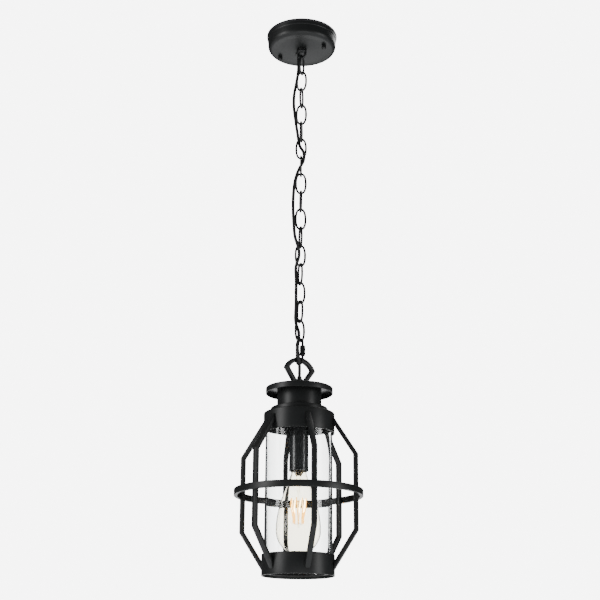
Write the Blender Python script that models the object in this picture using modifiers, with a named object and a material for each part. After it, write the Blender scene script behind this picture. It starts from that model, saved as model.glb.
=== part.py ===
"""Hanging lantern: ceiling canopy, chain with a woven supply cord, and a caged glass lantern.

Every length is in metres. The origin is the middle of the ceiling plane, +Z is up and the
lantern hangs below it on the Z axis. +X runs along the line of the two canopy screws.
"""

import math

import bmesh
import bpy
import numpy as np
from mathutils import Matrix, Vector

MM = 0.001
GAP = 0.3 * MM  # running clearance between pieces that touch

# Canopy and its strap
CANOPY_RADIUS = 63.5 * MM
CANOPY_HEIGHT = 29.0 * MM
CANOPY_WALL = 1.2 * MM
SHOULDER_RADIUS = 9.0 * MM
SCREW_SPACING = 88.9 * MM
STUD_RADIUS = 2.0 * MM
CAP_NUT_RADIUS = 4.0 * MM
CAP_NUT_HEIGHT = 7.6 * MM
STRAP_LENGTH = 106.0 * MM
STRAP_WIDTH = 22.0 * MM
STRAP_THICKNESS = 2.0 * MM
LOOP_STUD_RADIUS = 5.0 * MM
HEX_NUT_FLATS = 15.0 * MM
HEX_NUT_HEIGHT = 5.0 * MM
COLLAR_RADIUS = 8.7 * MM
COLLAR_HEIGHT = 5.0 * MM
CANOPY_LOOP_WIRE = 4.4 * MM
CANOPY_LOOP_WIDTH = 18.4 * MM
CANOPY_LOOP_DROP = 9.3 * MM  # collar's lower face to the middle of the loop's bottom wire
BUSHING_OFFSET = 15.3 * MM
BUSHING_YAW = 140.1
BUSHING_FLANGE_RADIUS = 5.8 * MM
BUSHING_BODY_RADIUS = 4.4 * MM
BUSHING_HEIGHT = 9.0 * MM
BLOCK_SIZE = (26.0 * MM, 13.0 * MM, 9.0 * MM)
BLOCK_PLACE = (-24.0 * MM, 0.0)
LEAD_RADIUS = 0.9 * MM

# Chain
LINK_COUNT = 16
LINK_WIRE = 3.8 * MM
LINK_PITCH = 33.5 * MM
LINK_OUTER_WIDTH = 20.8 * MM
LINK_TWIST = 93.8  # degrees that each link's plane is turned past the one above
QUICK_WIRE = 4.0 * MM
QUICK_INNER_LENGTH = 39.8 * MM
QUICK_OUTER_WIDTH = 20.0 * MM
QUICK_GAP = 5.0 * MM
QUICK_NUT_FLATS = 8.0 * MM
QUICK_NUT_LENGTH = 17.5 * MM

# Cord
CORD_RADIUS = 2.7 * MM
CORD_SPACING = 11.0 * MM

# Hanging loop and the lantern's top
LOOP_YAW = 62.0
LOOP_BAR = 7.5 * MM
LOOP_HALF_WIDTH = 29.9 * MM
LOOP_RISE = 20.0 * MM  # corners to the arc's top
LOOP_LEG = 30.8 * MM  # flange to corners, measured upwards
LOOP_FOOT_HALF_WIDTH = 7.4 * MM
HUB_RADIUS = 7.5 * MM
HUB_HEIGHT = 15.0 * MM
HUB_CROWN = 3.5 * MM
GROMMET_RADIUS = 5.0 * MM
GROMMET_HEIGHT = 3.0 * MM
STEM_RADIUS = 5.0 * MM
STEM_WALL = 1.5 * MM
FLANGE_RADIUS = 55.0 * MM
FLANGE_HEIGHT = 10.6 * MM
NECK_RADIUS = 36.3 * MM
NECK_HEIGHT = 24.0 * MM
STEP_RADIUS = 46.7 * MM
STEP_HEIGHT = 8.8 * MM
SHEET = 1.5 * MM

# Cage
COLLAR_BAND_HEIGHT = 33.0 * MM
BAND_WALL = 2.0 * MM
BAND_CLEARANCE = 1.7 * MM  # band's inner face to the glass
BAND_CENTRE = 113.0 * MM  # ring's middle to the middle of either band
RING_RADIUS = 103.5 * MM
RING_HEIGHT = 10.5 * MM
RING_THICKNESS = 6.0 * MM
BAR_COUNT = 6
BAR_FIRST_YAW = 72.0
BAR_WIDTH = 8.2 * MM
BAR_DEPTH = 7.0 * MM
BAR_BEND = 60.7 * MM  # ring's middle to the bar's outer bend
BAR_REACH = 122.0 * MM  # ring's middle to the bar's outer end on a band

# Glass, lampholder and lamp
GLASS_RADIUS = 54.0 * MM
GLASS_WALL = 3.0 * MM
COLLAR_BAND_RADIUS = GLASS_RADIUS + BAND_CLEARANCE + BAND_WALL
GLASS_TOP = 117.0 * MM
GLASS_BOTTOM = -122.0 * MM
GASKET_WIDTH = 4.0 * MM
REST_WIDTH = 9.0 * MM
REST_HEIGHT = 3.0 * MM
HOLDER_BOTTOM = 34.0 * MM
HOLDER_TOP = 108.0 * MM
HOLDER_WALL = 1.2 * MM
LAMP_CAP_RADIUS = 13.2 * MM
HOLDER_RADIUS = LAMP_CAP_RADIUS + 2.4 * MM
LAMP_CAP_HEIGHT = 22.0 * MM
LAMP_CAP_BOTTOM = 37.0 * MM
SHELL_WALL = 0.5 * MM
LAMP_RADIUS = 36.0 * MM
LAMP_WIDEST = -57.0 * MM
LAMP_TIP = -91.7 * MM
LAMP_NECK_RADIUS = LAMP_CAP_RADIUS - 1.0 * MM
LAMP_WALL = 0.8 * MM
FILAMENT_TOP = -8.0 * MM
FILAMENT_BOTTOM = -46.0 * MM
FILAMENT_TOP_RADIUS = 12.5 * MM
FILAMENT_BOTTOM_RADIUS = 8.5 * MM
FILAMENT_STICKS = 8

# Levels, worked out downwards from the ceiling
CANOPY_BOTTOM = -CANOPY_HEIGHT
COLLAR_TOP = CANOPY_BOTTOM - GAP
COLLAR_BOTTOM = COLLAR_TOP - COLLAR_HEIGHT
CANOPY_LOOP_WIRE_Z = COLLAR_BOTTOM - CANOPY_LOOP_DROP
LINK_INNER_LENGTH = LINK_PITCH + GAP
LINK_HALF = (LINK_INNER_LENGTH + LINK_WIRE) / 2  # link's middle to its end wire's middle
FIRST_LINK_Z = CANOPY_LOOP_WIRE_Z + (CANOPY_LOOP_WIRE + LINK_WIRE) / 2 + GAP - LINK_HALF
LAST_LINK_Z = FIRST_LINK_Z - (LINK_COUNT - 1) * LINK_PITCH
QUICK_HALF = (QUICK_INNER_LENGTH + QUICK_WIRE) / 2
QUICK_Z = LAST_LINK_Z - LINK_HALF + (LINK_WIRE + QUICK_WIRE) / 2 + GAP - QUICK_HALF
QUICK_BOTTOM_WIRE_Z = QUICK_Z - QUICK_HALF
QUICK_BEND = (QUICK_OUTER_WIDTH - QUICK_WIRE) / 2  # radius of its wire's middle round either end
# The bar's square edges sit in the round of the wire, a gap from it.
LOOP_SEAT = math.sqrt((QUICK_BEND - QUICK_WIRE / 2 - GAP) ** 2 - (LOOP_BAR / 2) ** 2)
LOOP_TOP = QUICK_BOTTOM_WIRE_Z + QUICK_BEND - LOOP_SEAT + LOOP_BAR
FLANGE_TOP = LOOP_TOP - LOOP_RISE - LOOP_LEG
FLANGE_BOTTOM = FLANGE_TOP - FLANGE_HEIGHT
NECK_BOTTOM = FLANGE_BOTTOM - NECK_HEIGHT
STEP_BOTTOM = NECK_BOTTOM - STEP_HEIGHT
RING_Z = STEP_BOTTOM - GAP - BAND_CENTRE - COLLAR_BAND_HEIGHT / 2

# The cord's way down: height, sideways place and depth, in metres, chosen by hand.
CORD_ROUTE = (
    (-0.0130, -0.0117, 0.0098),
    (-0.0260, -0.0117, 0.0098),
    (-0.0390, -0.0116, 0.0095),
    (-0.0570, -0.0109, 0.0079),
    (-0.0760, -0.0108, 0.0049),
    (-0.0950, -0.0126, 0.0023),
    (-0.1160, -0.0148, -0.0002),
    (-0.1380, -0.0148, -0.0008),
    (-0.1600, -0.0127, 0.0003),
    (-0.1800, -0.0105, 0.0021),
    (-0.1970, -0.0083, 0.0032),
    (-0.2110, -0.0061, 0.0035),
    (-0.2230, -0.0010, 0.0008),
    (-0.2330, 0.0054, -0.0022),
    (-0.2420, 0.0074, -0.0030),
    (-0.2510, 0.0058, -0.0022),
    (-0.2600, 0.0009, -0.0028),
    (-0.2700, -0.0023, -0.0060),
    (-0.2830, -0.0051, -0.0092),
    (-0.3130, -0.0083, -0.0114),
    (-0.3470, -0.0088, -0.0112),
    (-0.3780, -0.0072, -0.0103),
    (-0.3960, -0.0048, -0.0102),
    (-0.4100, -0.0008, -0.0090),
    (-0.4210, -0.0001, -0.0046),
    (-0.4310, -0.0033, -0.0006),
    (-0.4430, -0.0077, -0.0002),
    (-0.4620, -0.0078, -0.0006),
    (-0.4920, -0.0070, -0.0010),
    (-0.5250, -0.0074, -0.0014),
    (-0.5470, -0.0064, -0.0016),
    (-0.5610, -0.0014, -0.0024),
    (-0.5720, 0.0017, -0.0066),
    (-0.5850, 0.0024, -0.0109),
    (-0.6000, 0.0032, -0.0129),
    (-0.6120, 0.0042, -0.0108),
    (-0.6260, 0.0017, -0.0032),
    (-0.6400, 0.0, 0.0),
    (-0.6540, 0.0, 0.0),
    (-0.7180, 0.0, 0.0),
)


def clear_scene() -> None:
    """Removes every object that the scene starts with."""
    for obj in list(bpy.data.objects):
        bpy.data.objects.remove(obj, do_unlink=True)


clear_scene()
PARTS = bpy.data.collections.new("hanging_lantern")
CUTTERS = bpy.data.collections.new("cutters")
bpy.context.scene.collection.children.link(PARTS)
bpy.context.scene.collection.children.link(CUTTERS)
CUTTERS.hide_render = True


def finish_material(name, colour, roughness, metallic=0.0, transmission=0.0, emission=0.0):
    """A Principled material in one plain colour."""
    made = bpy.data.materials.new(name)
    made.use_nodes = True
    shader = made.node_tree.nodes["Principled BSDF"]
    shader.inputs["Base Color"].default_value = (*colour, 1.0)
    shader.inputs["Roughness"].default_value = roughness
    shader.inputs["Metallic"].default_value = metallic
    shader.inputs["Transmission Weight"].default_value = transmission
    shader.inputs["Emission Color"].default_value = (*colour, 1.0)
    shader.inputs["Emission Strength"].default_value = emission
    return made


BLACK = finish_material("black_powder_coat", (0.012, 0.013, 0.013), 0.42)
CORD_BLACK = finish_material("black_cord", (0.012, 0.012, 0.012), 0.6)
BLACK_PLASTIC = finish_material("black_plastic", (0.015, 0.015, 0.015), 0.45)
ZINC = finish_material("zinc_plate", (0.62, 0.62, 0.6), 0.35, metallic=1.0)
BRASS = finish_material("brass", (0.72, 0.52, 0.22), 0.3, metallic=1.0)
NICKEL = finish_material("nickel", (0.66, 0.63, 0.58), 0.25, metallic=1.0)
WHITE_PLASTIC = finish_material("white_plastic", (0.85, 0.85, 0.82), 0.5)
CERAMIC = finish_material("ceramic", (0.88, 0.86, 0.8), 0.3)
CLEAR_GLASS = finish_material("clear_glass", (0.95, 0.97, 0.97), 0.02, transmission=1.0)
FELT = finish_material("gasket", (0.05, 0.05, 0.05), 0.8)
LEAD_COPPER = finish_material("lead_sleeve", (0.3, 0.12, 0.04), 0.5)
GLOW = finish_material("filament", (1.0, 0.55, 0.18), 0.4, emission=4.0)


def direction(yaw):
    """The level unit vector at this yaw, in degrees from +X towards +Y."""
    return Vector((math.cos(math.radians(yaw)), math.sin(math.radians(yaw)), 0.0))


def dress(obj, name, material, collection=PARTS):
    """Names the object, gives it its material and its collection, and shades it smooth."""
    obj.name = name
    obj.data.name = name
    for old in list(obj.users_collection):
        old.objects.unlink(obj)
    collection.objects.link(obj)
    obj.data.materials.clear()
    obj.data.materials.append(material)
    if obj.type == "MESH":
        obj.data.shade_smooth()
        obj.data.set_sharp_from_angle(angle=math.radians(35))
    if collection is CUTTERS:
        obj.hide_render = True
        obj.display_type = "WIRE"
    return obj


def turned(name, outline, material, steps=48, place=(0.0, 0.0, 0.0), collection=PARTS):
    """A turned piece. outline is (radius, height) points, down the outer side and up the inner.

    An outline that starts and ends on the axis stays open there; any other is closed.
    """
    on_axis = outline[0][0] == 0.0 and outline[-1][0] == 0.0
    mesh = bpy.data.meshes.new(name)
    edges = [(i, i + 1) for i in range(len(outline) - 1)]
    if not on_axis:
        edges.append((len(outline) - 1, 0))
    mesh.from_pydata([(r, 0.0, z) for r, z in outline], edges, [])
    obj = bpy.data.objects.new(name, mesh)
    obj.location = place
    screw = obj.modifiers.new("turn", "SCREW")
    screw.steps = steps
    screw.render_steps = steps
    screw.use_smooth_shade = True
    screw.use_merge_vertices = on_axis
    screw.merge_threshold = 1e-6
    dress(obj, name, material, collection)
    return obj


def tube_outline(outer, inner, top, bottom):
    """The outline of a tube or ring of square section."""
    return [(inner, top), (outer, top), (outer, bottom), (inner, bottom)]


def wire(name, points, radius, material, closed=False, sides=2, collection=PARTS):
    """A round wire along the points. sides is the curve's bevel resolution."""
    curve = bpy.data.curves.new(name, "CURVE")
    curve.dimensions = "3D"
    curve.bevel_depth = radius
    curve.bevel_resolution = sides
    curve.use_fill_caps = True
    spline = curve.splines.new("POLY")
    spline.points.add(len(points) - 1)
    for point, place in zip(spline.points, points):
        point.co = (*place, 1.0)
    spline.use_cyclic_u = closed
    obj = bpy.data.objects.new(name, curve)
    return dress(obj, name, material, collection)


def sheet(name, outlines, thickness, material, matrix, collection=PARTS):
    """A flat piece: closed outlines in a plane, the first the outside, the others its holes."""
    curve = bpy.data.curves.new(name, "CURVE")
    curve.dimensions = "2D"
    curve.fill_mode = "BOTH"
    curve.extrude = thickness / 2
    for outline in outlines:
        spline = curve.splines.new("POLY")
        spline.points.add(len(outline) - 1)
        for point, (x, y) in zip(spline.points, outline):
            point.co = (x, y, 0.0, 1.0)
        spline.use_cyclic_u = True
    obj = bpy.data.objects.new(name, curve)
    obj.matrix_world = matrix
    return dress(obj, name, material, collection)


def as_mesh(obj):
    """The curve object remade as a mesh with its caps welded, in the same place."""
    bpy.context.view_layer.update()
    graph = bpy.context.evaluated_depsgraph_get()
    mesh = bpy.data.meshes.new_from_object(obj.evaluated_get(graph))
    cage = bmesh.new()
    cage.from_mesh(mesh)
    bmesh.ops.remove_doubles(cage, verts=cage.verts, dist=1e-6)
    cage.to_mesh(mesh)
    cage.free()
    made = bpy.data.objects.new(obj.name, mesh)
    made.matrix_world = obj.matrix_world.copy()
    name, material, collection = obj.name, obj.data.materials[0], obj.users_collection[0]
    bpy.data.objects.remove(obj, do_unlink=True)
    return dress(made, name, material, collection)


def combine(target, other, operation):
    """Adds a Boolean of the other mesh to the target."""
    boolean = target.modifiers.new(operation.lower(), "BOOLEAN")
    boolean.operation = operation
    boolean.solver = "EXACT"
    boolean.object = other


def circle(radius, count, centre=(0.0, 0.0)):
    """Points round a circle."""
    turn = 2 * math.pi / count
    return [
        (centre[0] + radius * math.cos(i * turn), centre[1] + radius * math.sin(i * turn))
        for i in range(count)
    ]


def hexagon(flats, centre=(0.0, 0.0)):
    """The corners of a hexagon of this width across its flats."""
    return circle(flats / math.sqrt(3), 6, centre)


def standing(yaw, z):
    """Turns a flat outline upright: its X runs along the yaw and its Y runs up."""
    along = direction(yaw)
    normal = along.cross(Vector((0, 0, 1)))
    matrix = Matrix((along, Vector((0, 0, 1)), normal)).transposed().to_4x4()
    matrix.translation = (0.0, 0.0, z)
    return matrix


def level(z, x=0.0, y=0.0):
    """Leaves a flat outline level, at this place."""
    return Matrix.Translation((x, y, z))


def hex_nut(name, flats, bore, top, bottom, material, x=0.0, y=0.0):
    """A hexagon nut round a vertical axis."""
    return sheet(
        name,
        [hexagon(flats), circle(bore, 16)],
        top - bottom,
        material,
        level((top + bottom) / 2, x, y),
    )


def block(name, size, place, material, bevel=0.8 * MM):
    """A box with rounded edges, by its full sizes and its middle."""
    bpy.ops.mesh.primitive_cube_add(size=1.0, location=place)
    obj = bpy.context.object
    obj.scale = size
    bpy.ops.object.transform_apply(location=False, rotation=False, scale=True)
    edge = obj.modifiers.new("edge", "BEVEL")
    edge.width = bevel
    edge.segments = 1
    return dress(obj, name, material)


def canopy_outline():
    """The pan's wall, from its rim down the outside and back up the inside."""
    hole = LOOP_STUD_RADIUS + GAP
    rim = CANOPY_RADIUS
    bead = rim - 1.5 * MM
    corner = rim - SHOULDER_RADIUS
    outside = [(rim, -0.5 * MM), (rim, -3.0 * MM), (bead, -4.5 * MM)]
    for i in range(5):
        angle = math.radians(90 * i / 4)
        reach = bead - corner
        outside.append(
            (
                corner + reach * math.cos(angle),
                CANOPY_BOTTOM + SHOULDER_RADIUS - SHOULDER_RADIUS * math.sin(angle),
            )
        )
    outside.append((hole, CANOPY_BOTTOM))
    inside = [
        (hole, CANOPY_BOTTOM + CANOPY_WALL),
        (corner, CANOPY_BOTTOM + CANOPY_WALL),
        (corner + 0.7 * (bead - corner) - CANOPY_WALL, CANOPY_BOTTOM + 0.3 * SHOULDER_RADIUS + CANOPY_WALL),
        (bead - CANOPY_WALL, CANOPY_BOTTOM + SHOULDER_RADIUS),
        (bead - CANOPY_WALL, -0.5 * MM),
    ]
    return outside + inside


def canopy():
    """The canopy pan and everything that fixes it and the chain to the ceiling."""
    half_spacing = SCREW_SPACING / 2
    strap_half = STRAP_LENGTH / 2
    side = STRAP_WIDTH / 2
    strap_outline = [(-strap_half, -side), (strap_half, -side), (strap_half, side), (-strap_half, side)]
    holes = [circle(LOOP_STUD_RADIUS + GAP, 20)]
    holes += [circle(STUD_RADIUS + GAP, 12, (s * half_spacing, 0.0)) for s in (-1, 1)]
    sheet(
        "mounting_strap",
        [strap_outline, *holes],
        STRAP_THICKNESS,
        ZINC,
        level(-STRAP_THICKNESS / 2),
    )
    pan = turned("canopy_pan", canopy_outline(), BLACK)
    for number, s in enumerate((-1, 1), 1):
        drill = turned(
            f"screw_drill_{number}",
            [(0.0, 1.0 * MM), (STUD_RADIUS + GAP, 1.0 * MM), (STUD_RADIUS + GAP, -4.0 * MM), (0.0, -4.0 * MM)],
            BLACK,
            steps=12,
            place=(s * half_spacing, 0.0, CANOPY_BOTTOM + 2.0 * MM),
            collection=CUTTERS,
        )
        combine(pan, drill, "DIFFERENCE")
        turned(
            f"canopy_stud_{number}",
            [
                (0.0, -GAP),
                (STUD_RADIUS, -GAP),
                (STUD_RADIUS, CANOPY_BOTTOM - 5.0 * MM),
                (0.0, CANOPY_BOTTOM - 5.0 * MM),
            ],
            ZINC,
            steps=12,
            place=(s * half_spacing, 0.0, 0.0),
        )
        bore = STUD_RADIUS + GAP
        nut_top = CANOPY_BOTTOM - GAP
        nut_bottom = nut_top - CAP_NUT_HEIGHT
        turned(
            f"canopy_nut_{number}",
            [
                (0.0, CANOPY_BOTTOM - 5.0 * MM - GAP),
                (bore, CANOPY_BOTTOM - 5.0 * MM - GAP),
                (bore, nut_top),
                (CAP_NUT_RADIUS, nut_top),
                (CAP_NUT_RADIUS, nut_bottom + 1.6 * MM),
                (CAP_NUT_RADIUS - 0.9 * MM, nut_bottom + 0.4 * MM),
                (CAP_NUT_RADIUS - 2.2 * MM, nut_bottom),
                (0.0, nut_bottom),
            ],
            BLACK,
            steps=16,
            place=(s * half_spacing, 0.0, 0.0),
        )
    bushing_place = direction(BUSHING_YAW) * BUSHING_OFFSET
    drill = turned(
        "bushing_drill",
        [
            (0.0, 1.0 * MM),
            (BUSHING_BODY_RADIUS + GAP, 1.0 * MM),
            (BUSHING_BODY_RADIUS + GAP, -4.0 * MM),
            (0.0, -4.0 * MM),
        ],
        BLACK,
        steps=20,
        place=(bushing_place.x, bushing_place.y, CANOPY_BOTTOM + 2.0 * MM),
        collection=CUTTERS,
    )
    combine(pan, drill, "DIFFERENCE")
    cord_bore = CORD_RADIUS + GAP
    flange_top = CANOPY_BOTTOM - GAP
    turned(
        "cord_bushing",
        [
            (cord_bore, flange_top - 2.0 * MM + BUSHING_HEIGHT),
            (BUSHING_BODY_RADIUS, flange_top - 2.0 * MM + BUSHING_HEIGHT),
            (BUSHING_BODY_RADIUS, flange_top),
            (BUSHING_FLANGE_RADIUS, flange_top),
            (BUSHING_FLANGE_RADIUS - 0.6 * MM, flange_top - 2.0 * MM),
            (cord_bore, flange_top - 2.0 * MM),
        ],
        BLACK_PLASTIC,
        steps=20,
        place=(bushing_place.x, bushing_place.y, 0.0),
    )
    stud_bottom = COLLAR_BOTTOM + 1.5 * MM
    turned(
        "loop_stud",
        [
            (0.0, -GAP),
            (LOOP_STUD_RADIUS, -GAP),
            (LOOP_STUD_RADIUS, stud_bottom + GAP),
            (0.0, stud_bottom + GAP),
        ],
        ZINC,
        steps=20,
    )
    nut_top = -STRAP_THICKNESS - GAP
    hex_nut("strap_nut", HEX_NUT_FLATS, LOOP_STUD_RADIUS + GAP, nut_top, nut_top - HEX_NUT_HEIGHT, ZINC)
    seat = CANOPY_BOTTOM + CANOPY_WALL + GAP
    hex_nut("canopy_lock_nut", HEX_NUT_FLATS, LOOP_STUD_RADIUS + GAP, seat + HEX_NUT_HEIGHT, seat, ZINC)
    canopy_loop(stud_bottom)
    terminals(bushing_place)


def canopy_loop(stud_bottom):
    """The screwed collar with the loop that the first link hangs in."""
    collar = turned(
        "canopy_loop",
        [
            (0.0, stud_bottom),
            (LOOP_STUD_RADIUS + GAP, stud_bottom),
            (LOOP_STUD_RADIUS + GAP, COLLAR_TOP),
            (COLLAR_RADIUS - 0.6 * MM, COLLAR_TOP),
            (COLLAR_RADIUS, COLLAR_TOP - 0.6 * MM),
            (COLLAR_RADIUS, COLLAR_BOTTOM + 1.2 * MM),
            (COLLAR_RADIUS - 1.2 * MM, COLLAR_BOTTOM),
            (0.0, COLLAR_BOTTOM),
        ],
        BLACK,
        steps=24,
    )
    half = (CANOPY_LOOP_WIDTH - CANOPY_LOOP_WIRE) / 2
    top = COLLAR_BOTTOM + 1.0 * MM
    bend_z = CANOPY_LOOP_WIRE_Z + half
    points = [(half, 0.0, top)]
    points += [
        (half * math.cos(math.radians(a)), 0.0, bend_z - half * math.sin(math.radians(a)))
        for a in range(0, 181, 20)
    ]
    points.append((-half, 0.0, top))
    bow = as_mesh(wire("canopy_bow", points, CANOPY_LOOP_WIRE / 2, BLACK, collection=CUTTERS))
    combine(collar, bow, "UNION")


def terminals(bushing_place):
    """The terminal block under the strap, and the two cores that reach it from the cord."""
    top = -STRAP_THICKNESS - GAP
    middle = (BLOCK_PLACE[0], BLOCK_PLACE[1], top - BLOCK_SIZE[2] / 2)
    block("terminal_block", BLOCK_SIZE, middle, WHITE_PLASTIC)
    start = Vector((bushing_place.x, bushing_place.y, CORD_ROUTE[0][0] + GAP))
    face_y = BLOCK_PLACE[1] + BLOCK_SIZE[1] / 2 + GAP
    for name, offset, shift in (("live_lead", -1.2 * MM, -4.0 * MM), ("neutral_lead", 1.2 * MM, 4.0 * MM)):
        begin = start + Vector((offset, 0.0, 0.0))
        end = Vector((BLOCK_PLACE[0] + shift, face_y, middle[2]))
        rise = begin + Vector((0.0, 1.0 * MM, 3.5 * MM))
        reach = Vector((end.x, end.y + 6.0 * MM, end.z))
        wire(name, bezier(begin, rise, reach, end, 10), LEAD_RADIUS, LEAD_COPPER, sides=1)


def bezier(a, b, c, d, count):
    """Points along a cubic curve from a to d, drawn towards b and c."""
    found = []
    for i in range(count + 1):
        t = i / count
        u = 1 - t
        found.append(a * u**3 + b * 3 * u * u * t + c * 3 * u * t * t + d * t**3)
    return found


def oval(half_length, half_width, count):
    """Points round a link's middle line: straight-sided, with full round ends."""
    found = []
    for i in range(count):
        angle = 2 * math.pi * i / count
        across, up = math.cos(angle), math.sin(angle)
        found.append(
            (
                half_width * math.copysign(abs(across) ** 0.86, across),
                half_length * math.copysign(abs(up) ** 0.86, up),
            )
        )
    return found


def chain():
    """Sixteen oval links, each turned past the one above."""
    half_width = (LINK_OUTER_WIDTH - LINK_WIRE) / 2
    for k in range(1, LINK_COUNT + 1):
        along = direction(LINK_TWIST * k)
        z = FIRST_LINK_Z - (k - 1) * LINK_PITCH
        points = [
            (along.x * across, along.y * across, up)
            for across, up in oval(LINK_HALF, half_width, 20)
        ]
        link = wire(f"chain_link_{k:02d}", points, LINK_WIRE / 2, BLACK, closed=True, sides=1)
        link.location = (0.0, 0.0, z)


def quick_link():
    """The link with a screwed sleeve that joins the chain to the hanging loop."""
    along = -direction(LINK_TWIST * (LINK_COUNT + 1))
    radius = QUICK_BEND
    straight = QUICK_HALF - radius
    slot_top = -QUICK_NUT_LENGTH / 2 + 1.0 * MM + QUICK_GAP
    flat = [(radius, slot_top), (radius, straight)]
    flat += [
        (radius * math.cos(math.radians(a)), straight + radius * math.sin(math.radians(a)))
        for a in range(20, 161, 20)
    ]
    flat += [(-radius, straight), (-radius, -straight)]
    flat += [
        (radius * math.cos(math.radians(a)), -straight + radius * math.sin(math.radians(a)))
        for a in range(200, 341, 20)
    ]
    flat += [(radius, -straight), (radius, slot_top - QUICK_GAP)]
    points = [(along.x * across, along.y * across, up) for across, up in flat]
    link = wire("quick_link", points, QUICK_WIRE / 2, BLACK)
    link.location = (0.0, 0.0, QUICK_Z)
    leg = along * radius
    hex_nut(
        "quick_link_nut",
        QUICK_NUT_FLATS,
        QUICK_WIRE / 2 + GAP,
        QUICK_Z + QUICK_NUT_LENGTH / 2,
        QUICK_Z - QUICK_NUT_LENGTH / 2,
        BLACK,
        leg.x,
        leg.y,
    )


def smooth_route(route, spacing):
    """Points about spacing apart along the natural cubic spline through the route's points."""
    places = np.array([(x, y, z) for z, x, y in route])
    spans = np.linalg.norm(np.diff(places, axis=0), axis=1)
    slopes = np.diff(places, axis=0) / spans[:, None]
    system = np.eye(len(places))
    right = np.zeros_like(places)
    for i in range(1, len(places) - 1):
        system[i, i - 1 : i + 2] = spans[i - 1], 2 * (spans[i - 1] + spans[i]), spans[i]
        right[i] = 6 * (slopes[i] - slopes[i - 1])
    bends = np.linalg.solve(system, right)
    fine = []
    for i, span in enumerate(spans):
        for t in np.arange(0.0, 1.0, 0.05):
            u = 1 - t
            fine.append(
                u * places[i]
                + t * places[i + 1]
                + span**2 / 6 * ((u**3 - u) * bends[i] + (t**3 - t) * bends[i + 1])
            )
    fine = np.array([*fine, places[-1]])
    lengths = np.concatenate([[0.0], np.cumsum(np.linalg.norm(np.diff(fine, axis=0), axis=1))])
    wanted = np.linspace(0.0, lengths[-1], round(lengths[-1] / spacing) + 1)
    return [Vector(p) for p in zip(*(np.interp(wanted, lengths, fine[:, i]) for i in range(3)))]


def cord():
    """The supply cord, from inside the canopy through the chain to the lampholder."""
    points = smooth_route(CORD_ROUTE, CORD_SPACING)
    wire("supply_cord", points, CORD_RADIUS, CORD_BLACK)


def arc_points(centre_z, radius, half_angle, count):
    """Points on an arc round (0, centre_z), from its right end over the top to its left."""
    found = []
    for i in range(count + 1):
        angle = half_angle - 2 * half_angle * i / count
        found.append((radius * math.sin(angle), centre_z + radius * math.cos(angle)))
    return found


def hanging_loop():
    """The fan-shaped loop with its hub, and the grommet on the hub's crown."""
    corner_z = LOOP_LEG
    radius = (LOOP_HALF_WIDTH**2 + LOOP_RISE**2) / (2 * LOOP_RISE)
    centre_z = corner_z + LOOP_RISE - radius
    outer_angle = math.asin(LOOP_HALF_WIDTH / radius)
    outside = arc_points(centre_z, radius, outer_angle, 12)
    slope = (LOOP_HALF_WIDTH - LOOP_FOOT_HALF_WIDTH) / LOOP_LEG
    foot_z = 1.0 * MM  # the legs end inside the hub, just clear of its base
    foot = LOOP_FOOT_HALF_WIDTH + slope * foot_z
    outside += [(-foot, foot_z), (foot, foot_z)]
    shift = LOOP_BAR * math.sqrt(1 + slope**2)  # level distance across a leg
    inner_radius = radius - LOOP_BAR
    back = LOOP_FOOT_HALF_WIDTH - shift  # a leg's inner line is x = back + slope z
    first, half, last = (
        1 + slope**2,
        slope * back - centre_z,
        back**2 + centre_z**2 - inner_radius**2,
    )
    meet_z = (math.sqrt(half**2 - first * last) - half) / first
    inner_angle = math.atan2(back + slope * meet_z, meet_z - centre_z)
    inside = arc_points(centre_z, inner_radius, inner_angle, 10)
    inside.append((0.0, -back / slope))
    fan = sheet(
        "hanging_loop",
        [outside, inside],
        LOOP_BAR,
        BLACK,
        standing(LOOP_YAW, FLANGE_TOP + GAP),
    )
    fan = as_mesh(fan)
    base = FLANGE_TOP + GAP
    hub = turned(
        "hub",
        [
            (0.0, base + HUB_HEIGHT),
            (HUB_RADIUS - HUB_CROWN, base + HUB_HEIGHT),
            (HUB_RADIUS - 0.3 * HUB_CROWN, base + HUB_HEIGHT - 0.3 * HUB_CROWN),
            (HUB_RADIUS, base + HUB_HEIGHT - HUB_CROWN),
            (HUB_RADIUS, base),
            (0.0, base),
        ],
        BLACK,
        steps=24,
        collection=CUTTERS,
    )
    combine(fan, hub, "UNION")
    stem_bore = STEM_RADIUS + GAP
    cord_bore = CORD_RADIUS + GAP
    bore_step = base + HUB_HEIGHT - 3.0 * MM
    bore = turned(
        "hub_bore",
        [
            (0.0, base + HUB_HEIGHT + 5.0 * MM),
            (cord_bore, base + HUB_HEIGHT + 5.0 * MM),
            (cord_bore, bore_step),
            (stem_bore, bore_step),
            (stem_bore, base - 3.0 * MM),
            (0.0, base - 3.0 * MM),
        ],
        BLACK,
        steps=24,
        collection=CUTTERS,
    )
    combine(fan, bore, "DIFFERENCE")
    seat = base + HUB_HEIGHT + GAP
    turned(
        "cord_grommet",
        [
            (cord_bore, seat + GROMMET_HEIGHT),
            (cord_bore + 0.8 * MM, seat + GROMMET_HEIGHT),
            (GROMMET_RADIUS - HUB_CROWN * 0.3, seat),
            (cord_bore, seat),
        ],
        BLACK_PLASTIC,
        steps=20,
    )
    turned(
        "stem_tube",
        tube_outline(
            STEM_RADIUS, STEM_RADIUS - STEM_WALL, bore_step - GAP, RING_Z + HOLDER_TOP - 8.0 * MM
        ),
        ZINC,
        steps=24,
    )


def cap_outline(radius, hole, top, bottom, wall):
    """A pan that is open below: a top with a hole, and a rim that runs down."""
    return [
        (hole, top),
        (radius, top),
        (radius, bottom),
        (radius - wall, bottom),
        (radius - wall, top - wall),
        (hole, top - wall),
    ]


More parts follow.
